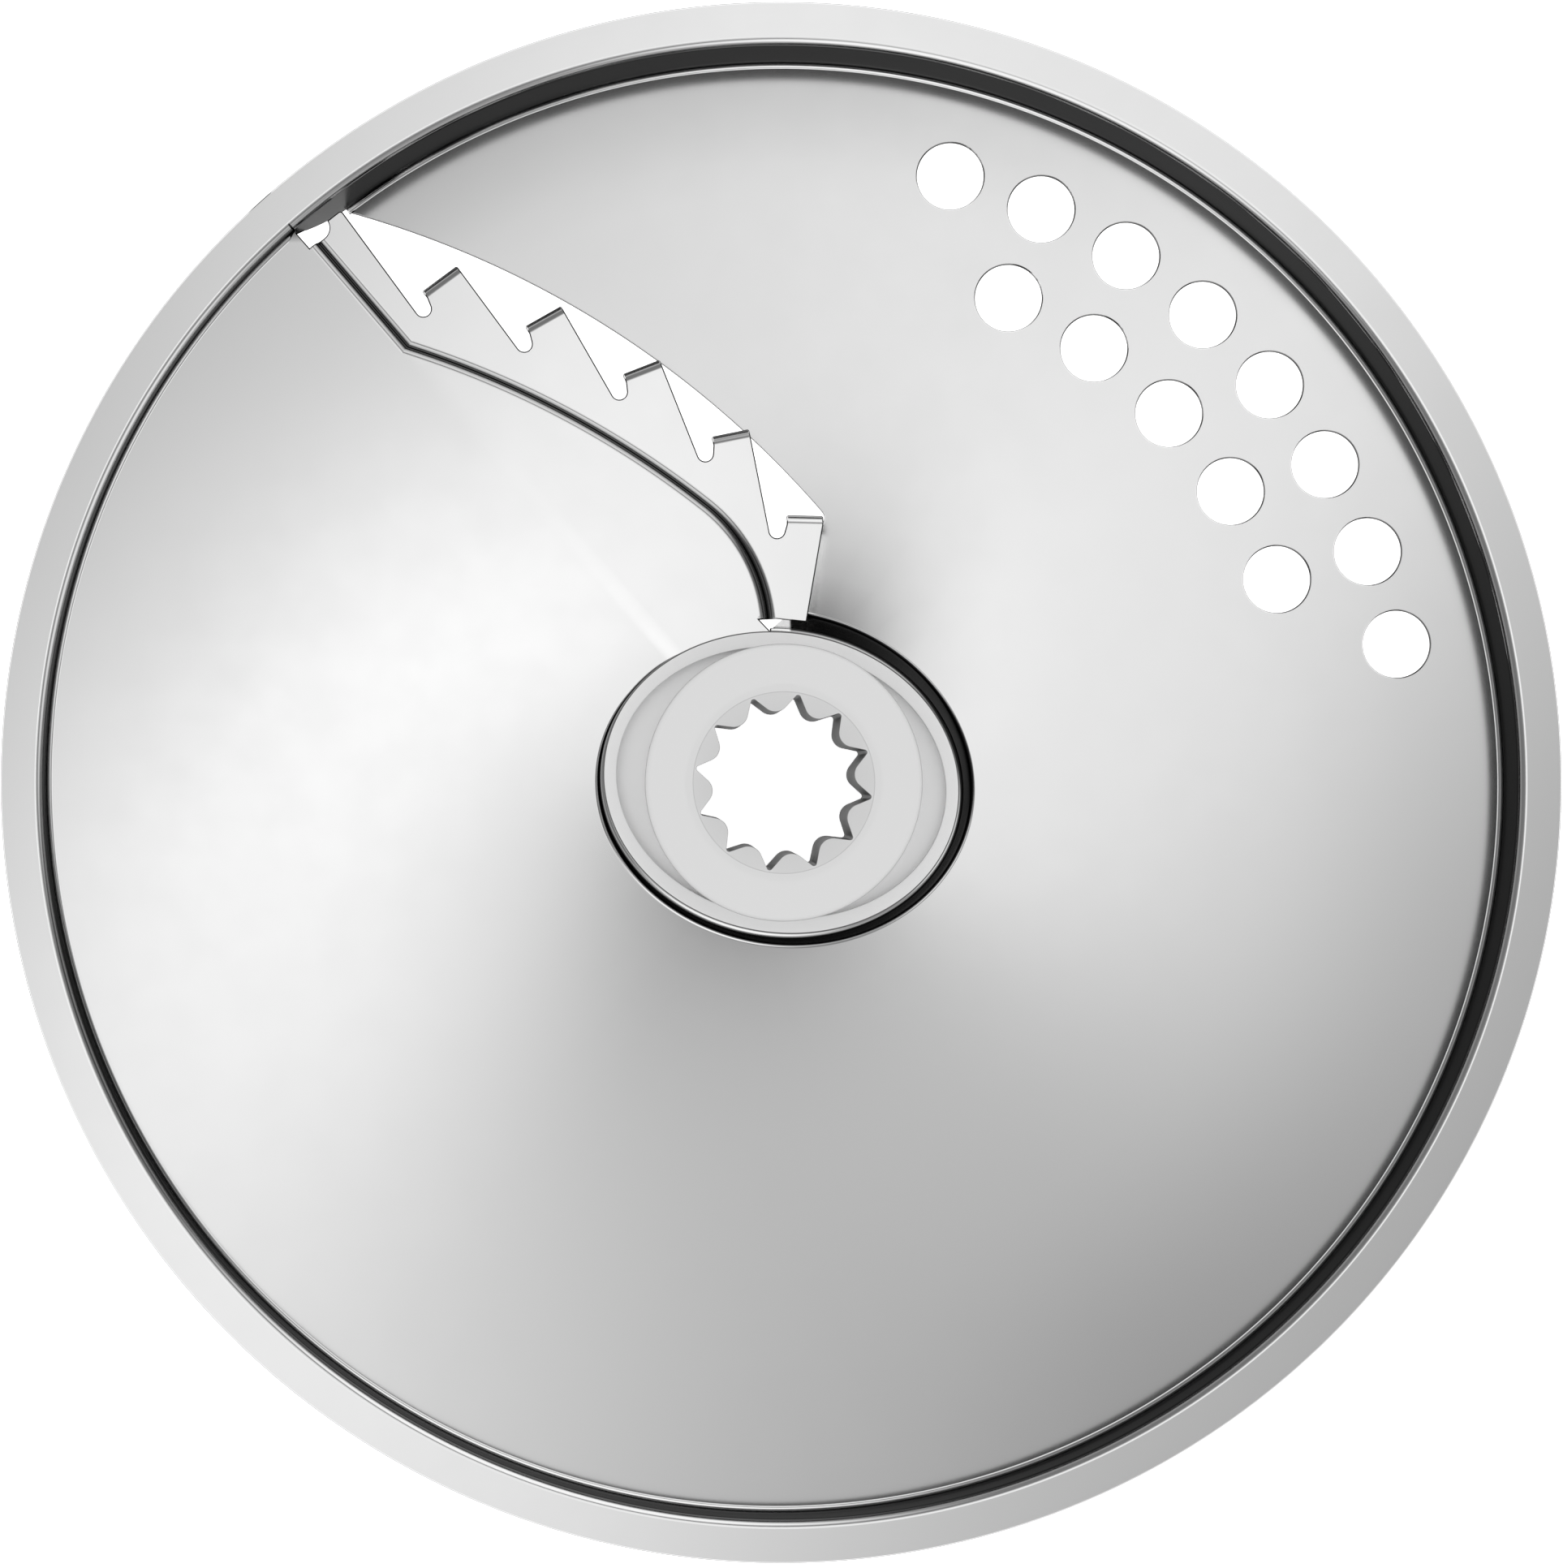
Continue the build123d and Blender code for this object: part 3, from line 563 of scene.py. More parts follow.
def panel_shade(azimuth, radius):
    """Painted shade of the panel, in place of its reflections of its own wall and collar and of the dim side
    of the studio.
    """
    fade = np.exp((BESIDE_COLLAR_RADIUS - radius) / BESIDE_COLLAR_FADE)
    total = BESIDE_COLLAR * fade * between(azimuth, *BESIDE_COLLAR_AZIMUTHS)
    for shade_depth, radii, *spans in PANEL_ZONES.values():
        zone = shade_depth * between(radius, *radii) if radii else shade_depth
        for span in spans:
            zone = zone * between(azimuth, *span)
        total = total + zone
    return np.minimum(total, 1)


print("zones of the panel:", list(PANEL_ZONES))

# %% Filling an outline
MERGED_BELOW = 1e-7


def inside(points, loops):
    """Whether plan points lie inside an odd number of closed loops."""
    odd = np.zeros(len(points), bool)
    for loop in loops:
        for start, end in zip(loop, np.roll(loop, -1, axis=0)):
            level = (start[1] > points[:, 1]) != (end[1] > points[:, 1])
            rise = end[1] - start[1] if end[1] != start[1] else 1.0
            odd ^= level & (points[:, 0] < start[0] + (points[:, 1] - start[1]) * (end[0] - start[0]) / rise)
    return odd


def filled(loops, extra):
    """Plan points and triangles that fill closed loops, with extra points inside."""
    points = np.vstack(loops + [extra])
    edges = []
    first = 0
    for loop in loops:
        count = len(loop)
        edges += [(first + n, first + (n + 1) % count) for n in range(count)]
        first += count
    found = delaunay_2d_cdt([Vector(p) for p in points], edges, [], 0, MERGED_BELOW)
    plan = np.array([tuple(p) for p in found[0]])
    triangles = np.array(found[2])
    kept = triangles[inside(plan[triangles].mean(axis=1), loops)]
    crossing = np.cross(plan[kept[:, 1]] - plan[kept[:, 0]], plan[kept[:, 2]] - plan[kept[:, 0]])
    kept[crossing < 0] = kept[crossing < 0][:, ::-1]
    return plan, kept.tolist()


# %% Edge of the slicing gap, from the hub straight out to a rounded corner, then along an arc to the wall
GAP_ARC_CENTRE = np.array([-61.2, -32.0])
GAP_ARC_RADIUS = 85.85
GAP_INNER_RADIUS = 24.0
GAP_CORNER = 0.8
GAP_STEPS = 60
GAP_ONWARDS = 4
GAP_END_CLEARANCE = 0.3


def triangle_angle(first, second, opposite):
    """Angle in degrees between two sides of a triangle, from the lengths of its sides."""
    return degrees(acos((first ** 2 + second ** 2 - opposite ** 2) / (2 * first * second)))


away = np.linalg.norm(GAP_ARC_CENTRE)
corner_turn = triangle_angle(GAP_INNER_RADIUS, away, GAP_ARC_RADIUS)
gap_corner = polar(GAP_INNER_RADIUS, float(bearing(GAP_ARC_CENTRE)) - corner_turn)
corner_bearing = float(bearing(gap_corner - GAP_ARC_CENTRE))
far_turn = triangle_angle(away, GAP_ARC_RADIUS, np.hypot(*wall_foot[-1, :2]))
end_bearing = float(bearing(-GAP_ARC_CENTRE)) + far_turn
gap_arc = arc(GAP_ARC_CENTRE, GAP_ARC_RADIUS, corner_bearing, end_bearing, GAP_STEPS)
gap_round = rounded(collar_foot[-1, :2], gap_corner, gap_arc[GAP_ONWARDS], GAP_CORNER)
kept_arc = gap_arc[np.linalg.norm(gap_arc - gap_corner, axis=-1) > 2 * GAP_CORNER][:-1]
gap_end = float(bearing(gap_arc[-1])) + 360
outer_edge = wall_foot[wall_azimuths < gap_end - GAP_END_CLEARANCE, :2]
panel_outline = np.vstack([
    collar_foot[:, :2],
    gap_round,
    kept_arc,
    gap_arc[-1:],
    outer_edge[::-1],
    polar(JOGGLE_OUTER_END, RAMP_START)[None],
    joggle_top[:, :2],
])
print("gap from", gap_corner.round(2), "to azimuth", round(gap_end - 360, 2))

# %% Panel of the ramp
PANEL_SPACING = 3.0
CREASE_SPACING = 0.8
CREASE_ROWS = 5
SLACK = 0.01
LOW_END_CLEARANCE = 0.5


def past_the_gap(plan):
    """Azimuths of plan points, counted on past 360 at the ramp's low end beyond the gap."""
    azimuth = bearing(plan)
    beyond = np.linalg.norm(plan - GAP_ARC_CENTRE, axis=-1) > GAP_ARC_RADIUS - SLACK
    low_end = (azimuth < GAP_HUB_AZIMUTH + SLACK) | (beyond & (azimuth < RAMP_START - LOW_END_CLEARANCE))
    return np.where(low_end, azimuth + 360, azimuth)


rings = [polar(radius, np.arange(0, 360, degrees(PANEL_SPACING / radius)))
         for radius in np.arange(SEAT_SHORT, PANEL_RADIUS, PANEL_SPACING)]
crease_radii = np.arange(SEAT_SHORT, PANEL_RADIUS, CREASE_SPACING)
crease_span = np.degrees(CREASE_WIDTH / crease_radii)
crease_rows = [polar(crease_radii, crease_azimuth(crease_radii) + crease_span * share)
               for share in np.linspace(0, 1, CREASE_ROWS)]
loops = [panel_outline] + hole_outlines


def spaced(spots, others, least):
    """Plan points within the loops that keep a distance from others."""
    spots = spots[inside(spots, loops)]
    return spots[np.array([np.min(np.linalg.norm(others - spot, axis=-1)) for spot in spots]) > least]


edge_points = np.vstack(loops)
crease_spots = spaced(np.vstack(crease_rows), edge_points, CREASE_SPACING / 2)
spots = spaced(np.vstack(rings), np.vstack([edge_points, crease_spots]), PANEL_SPACING / 3)
plan, triangles = filled(loops, np.vstack([crease_spots, spots]))
azimuth, radius = past_the_gap(plan), np.linalg.norm(plan, axis=-1)
add_patch(np.column_stack([plan, ramp_level(azimuth, radius)]), ramp_normal(azimuth, radius), triangles,
          panel_shade(azimuth, radius))
print("panel triangles:", len(triangles))

# %% [markdown]
# The blade is the sheet's own edge, cut into five teeth that step inwards along a spiral. Each tooth ends
# in a short round-ended slot that frees a fin, and the fin is folded down to split the slice into sticks.
# The outline is worked out tooth by tooth from a few sizes, then filled flat like the panel.

# %% Outline of the blade
TEETH = 5
TOOTH_PITCH = 7.42
TOOTH_ADVANCE = 5.9
FIRST_FIN_RADIUS = 53.02
FIRST_FIN_AZIMUTH = 126.1
FIN_BEND = 0.86
FIN_LENGTH = 3.75
FIN_LENGTH_LOSS = 0.14
FIN_DEPTH = 6.3
SLOT_ROUND = 0.66
SLOT_BACK = 0.83
SLOT_IN = 1.42
SLOT_STEPS = 14
BLADE_OUTER_END = PANEL_RADIUS - 0.56
BLADE_END_AZIMUTH = 128.9
BLADE_TIP_AZIMUTH = 127.5
BLADE_TIP_ROUND = 0.3
BLADE_BACK_STEPS = 10
BLADE_HUB_GAP = 1.2
BLADE_TAIL_AZIMUTH = 80.7
BLADE_HEEL_AZIMUTH = 90.0


def fin_places():
    """Radius, azimuth and length of each fin, from the rim inwards."""
    places = []
    azimuth = FIRST_FIN_AZIMUTH
    for index in range(TEETH):
        radius = FIRST_FIN_RADIUS - TOOTH_PITCH * index
        places.append((radius, azimuth, FIN_LENGTH - FIN_LENGTH_LOSS * index))
        azimuth -= 2 * degrees(asin(TOOTH_ADVANCE / (2 * (radius * (radius - TOOTH_PITCH)) ** 0.5)))
    return places


def tangent_turn(centre, point, side):
    """Direction from a round's centre to where a line from a point touches the round."""
    away = point - centre
    return degrees(atan2(away[1], away[0]) + side * acos(SLOT_ROUND / hypot(*away)))


def slot_and_fold(tip, radius, azimuth, length):
    """Outline of one tooth after its tip: round the slot, then along the fin's fold to the next tip."""
    forwards = polar(1.0, azimuth - 90)
    outwards = polar(1.0, azimuth)
    centre = outwards * (radius - SLOT_IN) - forwards * SLOT_BACK
    fold = outwards * (radius - FIN_BEND)
    start = tangent_turn(centre, tip, 1)
    end = tangent_turn(centre, fold, -1)
    slot = arc(centre, SLOT_ROUND, start, start + (end - start) % 360, SLOT_STEPS)
    return np.vstack([slot, fold, fold + forwards * length])


def tangent_arc(start, end, tangent, steps):
    """Plan points of an arc that leaves a point along a tangent and comes to another point."""
    chord = end - start
    side = np.array([-tangent[1], tangent[0]])
    side = side if chord @ side > 0 else -side
    centre = start + side * (chord @ chord) / (2 * chord @ side)
    first, last = (degrees(atan2(*(point - centre)[::-1])) for point in (start, end))
    return arc(centre, np.linalg.norm(start - centre), first, first + (last - first + 180) % 360 - 180, steps)


print("fins at radii", [round(place[0], 2) for place in fin_places()])

# %% Blade filled flat
blade_end = polar(BLADE_OUTER_END, BLADE_END_AZIMUTH)
blade_tip = polar(BLADE_OUTER_END, BLADE_TIP_AZIMUTH)
teeth = []
tip = blade_tip
for place in fin_places():
    teeth.append(slot_and_fold(tip, *place))
    tip = teeth[-1][-1]
hub_azimuths = (BLADE_TAIL_AZIMUTH, BLADE_HEEL_AZIMUTH)
tail_and_heel = [polar(seat_radius(BLADE_HUB_GAP, turn), turn) for turn in hub_azimuths]
blade_outline = np.vstack([
    tangent_arc(joggle_bottom[0, :2], blade_end, run_side, BLADE_BACK_STEPS),
    rounded(blade_end, blade_tip, teeth[0][0], BLADE_TIP_ROUND),
    *teeth,
    *tail_and_heel,
    joggle_bottom[:0:-1, :2],
])
plan, triangles = filled([blade_outline], np.zeros((0, 2)))
up = np.broadcast_to([0.0, 0.0, 1.0], (len(plan), 3))
add_patch(np.column_stack([plan, np.full(len(plan), BLADE_LEVEL)]), up, triangles)
print("blade triangles:", len(triangles))

# %% [markdown]
# The five fins are copies of one folded strip, turned and trimmed to their places. A second Geometry Nodes
# tree reads the turn and the length from the points it is given, sets a strip on each and makes them real.

# %% Fins
# Turns between which the painted shade of a fin's fold grows
FIN_SHADE_TURNS = (48, 88)


def fin_row():
    """Tree that sets a strip on each point, turned and stretched by the point's own values."""
    sockets = [("Strip", "NodeSocketObject"), ("Material", "NodeSocketMaterial")]
    tree, given, result = new_tree("fin_row", sockets)
    strip = tree.nodes.new("GeometryNodeObjectInfo")
    tree.links.new(given.outputs["Strip"], strip.inputs["Object"])
    copies = tree.nodes.new("GeometryNodeInstanceOnPoints")
    tree.links.new(given.outputs["Geometry"], copies.inputs["Points"])
    tree.links.new(strip.outputs["Geometry"], copies.inputs["Instance"])
    for name, socket, axis, rest in (("turn", "Rotation", "Z", 0), ("stretch", "Scale", "Y", 1)):
        stored = tree.nodes.new("GeometryNodeInputNamedAttribute")
        stored.data_type = "FLOAT"
        stored.inputs["Name"].default_value = name
        joined = tree.nodes.new("ShaderNodeCombineXYZ")
        for label in "XYZ":
            joined.inputs[label].default_value = rest
        tree.links.new(stored.outputs["Attribute"], joined.inputs[axis])
        tree.links.new(joined.outputs["Vector"], copies.inputs[socket])
    finish_tree(tree, given, result, copies.outputs["Instances"])
    return tree


fold_turn = np.linspace(0, pi / 2, BEND_STEPS + 1)
fin_across = np.append(FIN_BEND * (np.sin(fold_turn) - 1), 0)
fin_down = np.append(FIN_BEND * (np.cos(fold_turn) - 1), -FIN_DEPTH)
fin_turn = np.append(fold_turn, pi / 2)
strip_mesh = bpy.data.meshes.new("fin_strip")
corners = [(x * MM, y, z * MM) for y in (0, -1) for x, z in zip(fin_across, fin_down)]
strip_faces = grid_faces(2, len(fin_across), True)
strip_mesh.from_pydata(corners, [], strip_faces)
strip = bpy.data.objects.new("fin_strip", strip_mesh)
bpy.context.scene.collection.objects.link(strip)

places = fin_places()
fold_mesh = bpy.data.meshes.new("fin_folds")
fold_places = [(*(polar(radius, azimuth) * MM), BLADE_LEVEL * MM) for radius, azimuth, _ in places]
fold_mesh.from_pydata(fold_places, [], [])
own_values = {
    "turn": [radians(azimuth) for _, azimuth, _ in places],
    "stretch": [length * MM for _, _, length in places],
}
for name, values in own_values.items():
    fold_mesh.attributes.new(name, "FLOAT", "POINT").data.foreach_set("value", values)
fins_mesh = grown("fins", fold_mesh, fin_row(), {"Strip": strip})
bpy.data.objects.remove(strip)

values = np.zeros(len(fins_mesh.vertices) * 3)
fins_mesh.vertices.foreach_get("co", values)
for points, (_, azimuth, _) in zip(np.split(values.reshape(-1, 3) / MM, TEETH), places):
    slant = polar(1.0, azimuth) * np.sin(fin_turn)[:, None]
    normals = np.tile(np.column_stack([slant, np.cos(fin_turn)]), (2, 1))
    add_patch(points, normals, strip_faces, np.tile(crease_shade(fin_turn, *FIN_SHADE_TURNS), 2))
print("fins:", TEETH, "points:", len(fins_mesh.vertices))

# %% [markdown]
# All the stretches so far are the sheet's upper face. The Solidify modifier could give them thickness, but
# it would lose the exact normals. Here the stretches are welded where their points meet, each point is
# copied half a millimetre down its own normal, and every free edge gets a narrow wall with a finely broken
# upper edge. That broken edge, with a painted shade on it, draws the thin line round each hole. The painted
# shade of the folds, the panel and the edges is kept as an attribute.

# %% Welded stretches and free edges
WELD = 0.012
EDGE_BREAK = 0.11
SHARPEST_MITRE = 0.5


def broken_edge(upper, mean, free):
    """Upper points with the free edges moved inwards, the points below those edges, and their numbers."""
    inwards = np.zeros_like(upper)
    for start, end in free:
        across = np.cross(mean[start] + mean[end], upper[end] - upper[start])
        across /= np.linalg.norm(across)
        inwards[start] += across
        inwards[end] += across
    edge = np.unique(np.array(free))
    size = np.maximum(np.linalg.norm(inwards[edge], axis=-1, keepdims=True), SHARPEST_MITRE)
    moved = upper.copy()
    moved[edge] += EDGE_BREAK * 2 * inwards[edge] / size ** 2
    return moved, upper[edge] - EDGE_BREAK * mean[edge], {int(corner): n for n, corner in enumerate(edge)}


def welded(points):
    """Places that the points share, and the number of its place for each point."""
    near = KDTree(len(points))
    for number, point in enumerate(points):
        near.insert(point, number)
    near.balance()
    chosen = [min(number for _, number, _ in near.find_range(point, WELD)) for point in points]
    first, place = np.unique(chosen, return_inverse=True)
    return points[first], place.reshape(-1)


print("stretches of the sheet:", len(patches))

# %% Thickness of the sheet
# Painted shade on the broken upper edge of every free edge
EDGE_SHADE = 1.0
SHARP_ANGLE = 32


def sheet_mesh(name):
    """Closed mesh of the sheet from its stretches of upper face."""
    points = np.vstack([patch[0] for patch in patches])
    normals = np.vstack([patch[1] for patch in patches])
    shade = np.concatenate([patch[3] for patch in patches])
    starts = np.cumsum([0] + [len(patch[0]) for patch in patches])
    faces = [[start + corner for corner in face]
             for start, patch in zip(starts, patches) for face in patch[2]]
    upper, place = welded(points)
    mean = np.zeros_like(upper)
    np.add.at(mean, place, normals)
    mean /= np.linalg.norm(mean, axis=-1, keepdims=True)
    squareness = np.ones(len(upper))
    np.minimum.at(squareness, place, np.einsum("ij,ij->i", normals, mean[place]))
    lower = upper - SHEET * mean / squareness[:, None]
    shade_depth = np.zeros(len(upper))
    np.maximum.at(shade_depth, place, shade)

    count = len(upper)
    top = [[int(place[corner]) for corner in face] for face in faces]
    used = dict.fromkeys(edge for face in top for edge in zip(face, face[1:] + face[:1]))
    free = [edge for edge in used if (edge[1], edge[0]) not in used]
    upper, broken, order = broken_edge(upper, mean, free)
    bottom = [[corner + count for corner in face[::-1]] for face in top]
    walls = []
    for start, end in free:
        below = [order[start] + 2 * count, order[end] + 2 * count]
        walls += [[end, start, below[0], below[1]], [below[1], below[0], start + count, end + count]]
    mesh = bpy.data.meshes.new(name)
    mesh.from_pydata((np.vstack([upper, lower, broken]) * MM).tolist(), [], top + bottom + walls)
    mesh.polygons.foreach_set("use_smooth", np.ones(len(mesh.polygons), bool))
    mesh.set_sharp_from_angle(angle=radians(SHARP_ANGLE))
    corner_normals = [normals[corner] for face in faces for corner in face]
    corner_normals += [-normals[corner] for face in faces for corner in face[::-1]]
    corner_normals += [np.zeros(3)] * (4 * len(walls))
    stored = mesh.attributes.new("painted_shade", "FLOAT", "POINT")
    values = np.concatenate([shade_depth, np.zeros(count), np.full(len(broken), EDGE_SHADE)])
    stored.data.foreach_set("value", values.astype(np.float32))
    mesh.normals_split_custom_set(corner_normals)
    return mesh, len(free)


def new_piece(name, mesh):
    """Object at the origin for a finished mesh."""
    piece = bpy.data.objects.new(name, mesh)
    bpy.context.scene.collection.objects.link(piece)
    return piece


disc_mesh, free_edges = sheet_mesh("pressed_disc")
pressed_disc = new_piece("pressed_disc", disc_mesh)
print("pressed disc:", len(disc_mesh.polygons), "faces,", free_edges, "free edges walled")

# %% [markdown]
# The hub is one moulding. Every level of it is a ring: the star of the socket, circles for the boss, ovals
# for the flange and the body. If all rings have their points at the same azimuths, plain quads join them,
# and no cut is needed. The star is one point repeated twelve times, so the first tree makes it.

# %% Star of the socket
SOCKET_POINTS = 12
SOCKET_TIP_RADIUS = 7.48
SOCKET_CREST_RADIUS = 6.04
SOCKET_TIP_ROUND = 0.25
SOCKET_LOBE_ROUND = 1.2
TIP_STEPS = 10
LOBE_STEPS = 8
FLANK_STEPS = 4


def socket_point():
    """Outline of one point of the socket from crest to crest: half lobes, straight flanks, a rounded tip."""
    half_pitch = 180 / SOCKET_POINTS
    tip_centre = np.array([SOCKET_TIP_RADIUS - SOCKET_TIP_ROUND, 0])
    lobe_centre = polar(SOCKET_CREST_RADIUS + SOCKET_LOBE_ROUND, half_pitch)
    away = lobe_centre - tip_centre
    lean = degrees(atan2(away[1], away[0]) - acos((SOCKET_TIP_ROUND + SOCKET_LOBE_ROUND) / hypot(*away)))
    tip = arc(tip_centre, SOCKET_TIP_ROUND, -lean, lean, TIP_STEPS)
    lobe = arc(lobe_centre, SOCKET_LOBE_ROUND, lean + 180, half_pitch + 180, LOBE_STEPS)
    flank = tip[-1] + (lobe[0] - tip[-1]) * np.linspace(0, 1, FLANK_STEPS + 1)[1:-1, None]
    after = np.vstack([flank, lobe])
    return np.vstack([after[::-1] * (1, -1), tip, after[:-1]])


values = {"Count": SOCKET_POINTS, "First": radians(HUB_TURN), "Pitch": 2 * pi / SOCKET_POINTS}
star = plan_of(grown("socket_star", outline_mesh("socket_point", socket_point()), axis_tree, values))
star_radius = np.linalg.norm(star, axis=-1)
star_azimuth = bearing(star)
print("star of", len(star), "points")

# %% Rings of the hub
SOCKET_LEAD_RADIUS = SOCKET_TIP_RADIUS + 0.2
SOCKET_LEAD_DEPTH = 1.0
SHAFT_SEAT_RADIUS = 8.6
SHAFT_SEAT_DEPTH = 2.3
BOSS_RADIUS = 11.75
BOSS_ROUND = 0.5
BOSS_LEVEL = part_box("hub")[1].z / MM
FLANGE_OVERHANG = 0.05
FLANGE_LEVEL = START_LEVEL + 1.45
FLANGE_ROUND = 0.2
FLANGE_LINED = 6
RECESS_LONG = SEAT_LONG + FLANGE_OVERHANG - 1.15
RECESS_SHORT = SEAT_SHORT + FLANGE_OVERHANG - 1.35
RECESS_DEPTH = 0.7
RECESS_LEAST = 0.02
HUB_FIT = 0.1
BODY_GAP = 0.3
FOOT_ROUND = 0.5
ROUND_STEPS = 8
LINE = 0.06
# Painted shade of the lines at the edges, of the boss top, of the socket's lead-in and of its walls
LINE_SHADE = 0.4
BOSS_SHADE = 0.13
LEAD_SHADE = 0.16
SOCKET_SHADE = 0.95


def rounded_edge(radius, level, size, down, shade, line, lined=3):
    """Rings of a quarter-round edge, from the flat to the side; the last ones have the painted shade of the
    line.
    """
    turns = np.linspace(0, pi / 2, ROUND_STEPS + 1)
    shades = [shade] * (len(turns) - lined) + [line] * lined
    return [(radius - size * (1 - sin(turn)), level - down * size * (1 - cos(turn)), grey)
            for turn, grey in zip(turns, shades)]


lead_rise = (star_radius - SOCKET_CREST_RADIUS) / (SOCKET_LEAD_RADIUS - SOCKET_CREST_RADIUS)
recess = np.maximum(oval_radius(RECESS_LONG, RECESS_SHORT, star_azimuth), BOSS_RADIUS)
recess_floor = FLANGE_LEVEL - RECESS_DEPTH * np.clip((recess - BOSS_RADIUS) / RECESS_LEAST, 0, 1)
flange = seat_radius(FLANGE_OVERHANG, star_azimuth)
neck = seat_radius(-SEAT_LIP - HUB_FIT, star_azimuth)
body = seat_radius(-BODY_GAP, star_azimuth)
lead_level = BOSS_LEVEL - SOCKET_LEAD_DEPTH * (1 - lead_rise)
# Each ring: its radius, its level and its painted shade
hub_rings = [
    (star_radius, SHAFT_SEAT_DEPTH, SOCKET_SHADE),
    (star_radius, lead_level, SOCKET_SHADE),
    (star_radius + LINE, lead_level + LINE, LEAD_SHADE),
    (SOCKET_LEAD_RADIUS - LINE, BOSS_LEVEL - LINE, LEAD_SHADE),
    (SOCKET_LEAD_RADIUS, BOSS_LEVEL, LINE_SHADE),
    (SOCKET_LEAD_RADIUS + LINE, BOSS_LEVEL, BOSS_SHADE),
    *rounded_edge(BOSS_RADIUS, BOSS_LEVEL, BOSS_ROUND, 1, BOSS_SHADE, LINE_SHADE),
    (BOSS_RADIUS, recess_floor, 0),
    (recess, recess_floor, 0),
    (recess, FLANGE_LEVEL, LINE_SHADE),
    (recess + LINE, FLANGE_LEVEL, 0),
    *rounded_edge(flange, FLANGE_LEVEL, FLANGE_ROUND, 1, 0, 1, FLANGE_LINED),
    (flange, SEAT_LEVEL, 1),
    (neck, SEAT_LEVEL, 0),
    (neck, SEAT_LEVEL - SHEET, 0),
    (body, SEAT_LEVEL - SHEET, 0),
    *rounded_edge(body, 0, FOOT_ROUND, -1, 0, 0)[::-1],
    (SHAFT_SEAT_RADIUS, 0, 0),
    (SHAFT_SEAT_RADIUS, SHAFT_SEAT_DEPTH, 0),
]
print("rings from the table up to", round(BOSS_LEVEL, 2), "mm")

# %% Mesh of the hub
def ring_mesh(name, rings):
    """Closed mesh of quads between rings that share their azimuths, the last joined to the first."""
    count = len(star_azimuth)
    flat = np.zeros(count)
    points = np.vstack([np.column_stack([polar(radius + flat, star_azimuth), level + flat])
                        for radius, level, _ in rings])
    corner = np.arange(len(points)).reshape(len(rings), count)
    below, beside = np.roll(corner, -1, axis=0), np.roll(corner, -1, axis=1)
    quads = np.stack([corner, below, np.roll(below, -1, axis=1), beside], axis=-1).reshape(-1, 4)
    mesh = bpy.data.meshes.new(name)
    mesh.from_pydata((points * MM).tolist(), [], quads.tolist())
    mesh.polygons.foreach_set("use_smooth", np.ones(len(mesh.polygons), bool))
    mesh.set_sharp_from_angle(angle=radians(SHARP_ANGLE))
    stored = mesh.attributes.new("painted_shade", "FLOAT", "POINT")
    stored.data.foreach_set("value", np.repeat([float(ring[2]) for ring in rings], count).astype(np.float32))
    return mesh


hub_mesh = ring_mesh("moulded_hub", hub_rings)
moulded_hub = new_piece("moulded_hub", hub_mesh)
print("hub:", len(hub_rings), "rings of", len(star_azimuth), "points")

# %% [markdown]
# The steel is bright and smooth, and its colour is neutral. Its deep folds are meant to be dark, but mirrors
# that see each other would show the bright ramp there instead, so the mesh carries a painted shade for its
# folds as an attribute, and the shader paints it into the steel's colour and grazing tint. A very fine
# noise varies the roughness, as polishing leaves it.

# %% Polished steel
# Plain steel and the painted shade of its deep folds, for the colour and for the grazing tint
STEEL_AND_PAINTED_SHADE = (0.80, 0.04)
STEEL_GRAZING_AND_PAINTED_SHADE = (1.0, 0.15)
STEEL_ROUGHNESS = (0.14, 0.16)
STEEL_GRAIN = 240
NOISE_DETAIL = 3
NOISE_RANGE = (0.3, 0.7)


def new_material(name):
    """Material with an empty Principled shader; returns it with the shader and the tree."""
    material = bpy.data.materials.new(name)
    material.use_nodes = True
    tree = material.node_tree
    return material, tree.nodes["Principled BSDF"], tree


def noise_between(tree, scale, low, high):
    """Socket that wanders between two values with the place on the object."""
    place = tree.nodes.new("ShaderNodeTexCoord")
    noise = tree.nodes.new("ShaderNodeTexNoise")
    noise.inputs["Scale"].default_value = scale
    noise.inputs["Detail"].default_value = NOISE_DETAIL
    tree.links.new(place.outputs["Object"], noise.inputs["Vector"])
    spread = tree.nodes.new("ShaderNodeMapRange")
    spread.inputs["From Min"].default_value = NOISE_RANGE[0]
    spread.inputs["From Max"].default_value = NOISE_RANGE[1]
    spread.inputs["To Min"].default_value = low
    spread.inputs["To Max"].default_value = high
    tree.links.new(noise.outputs["Fac"], spread.inputs["Value"])
    return spread.outputs["Result"]


def blended(tree, share, first, second):
    """Socket between two colours or levels, by a share; a plain number stands for an even grey."""
    mix = tree.nodes.new("ShaderNodeMix")
    mix.data_type = "RGBA"
    tree.links.new(share, mix.inputs[0])
    for socket, value in ((mix.inputs[6], first), (mix.inputs[7], second)):
        if isinstance(value, float):
            socket.default_value = (value, value, value, 1)
        else:
            tree.links.new(value, socket)
    return mix.outputs[2]


def by_painted_shade(tree, plain, deep):
    """Socket that goes from plain to deep by the painted shade that the mesh carries."""
    fold = tree.nodes.new("ShaderNodeAttribute")
    fold.attribute_name = "painted_shade"
    return blended(tree, fold.outputs["Fac"], plain, deep)


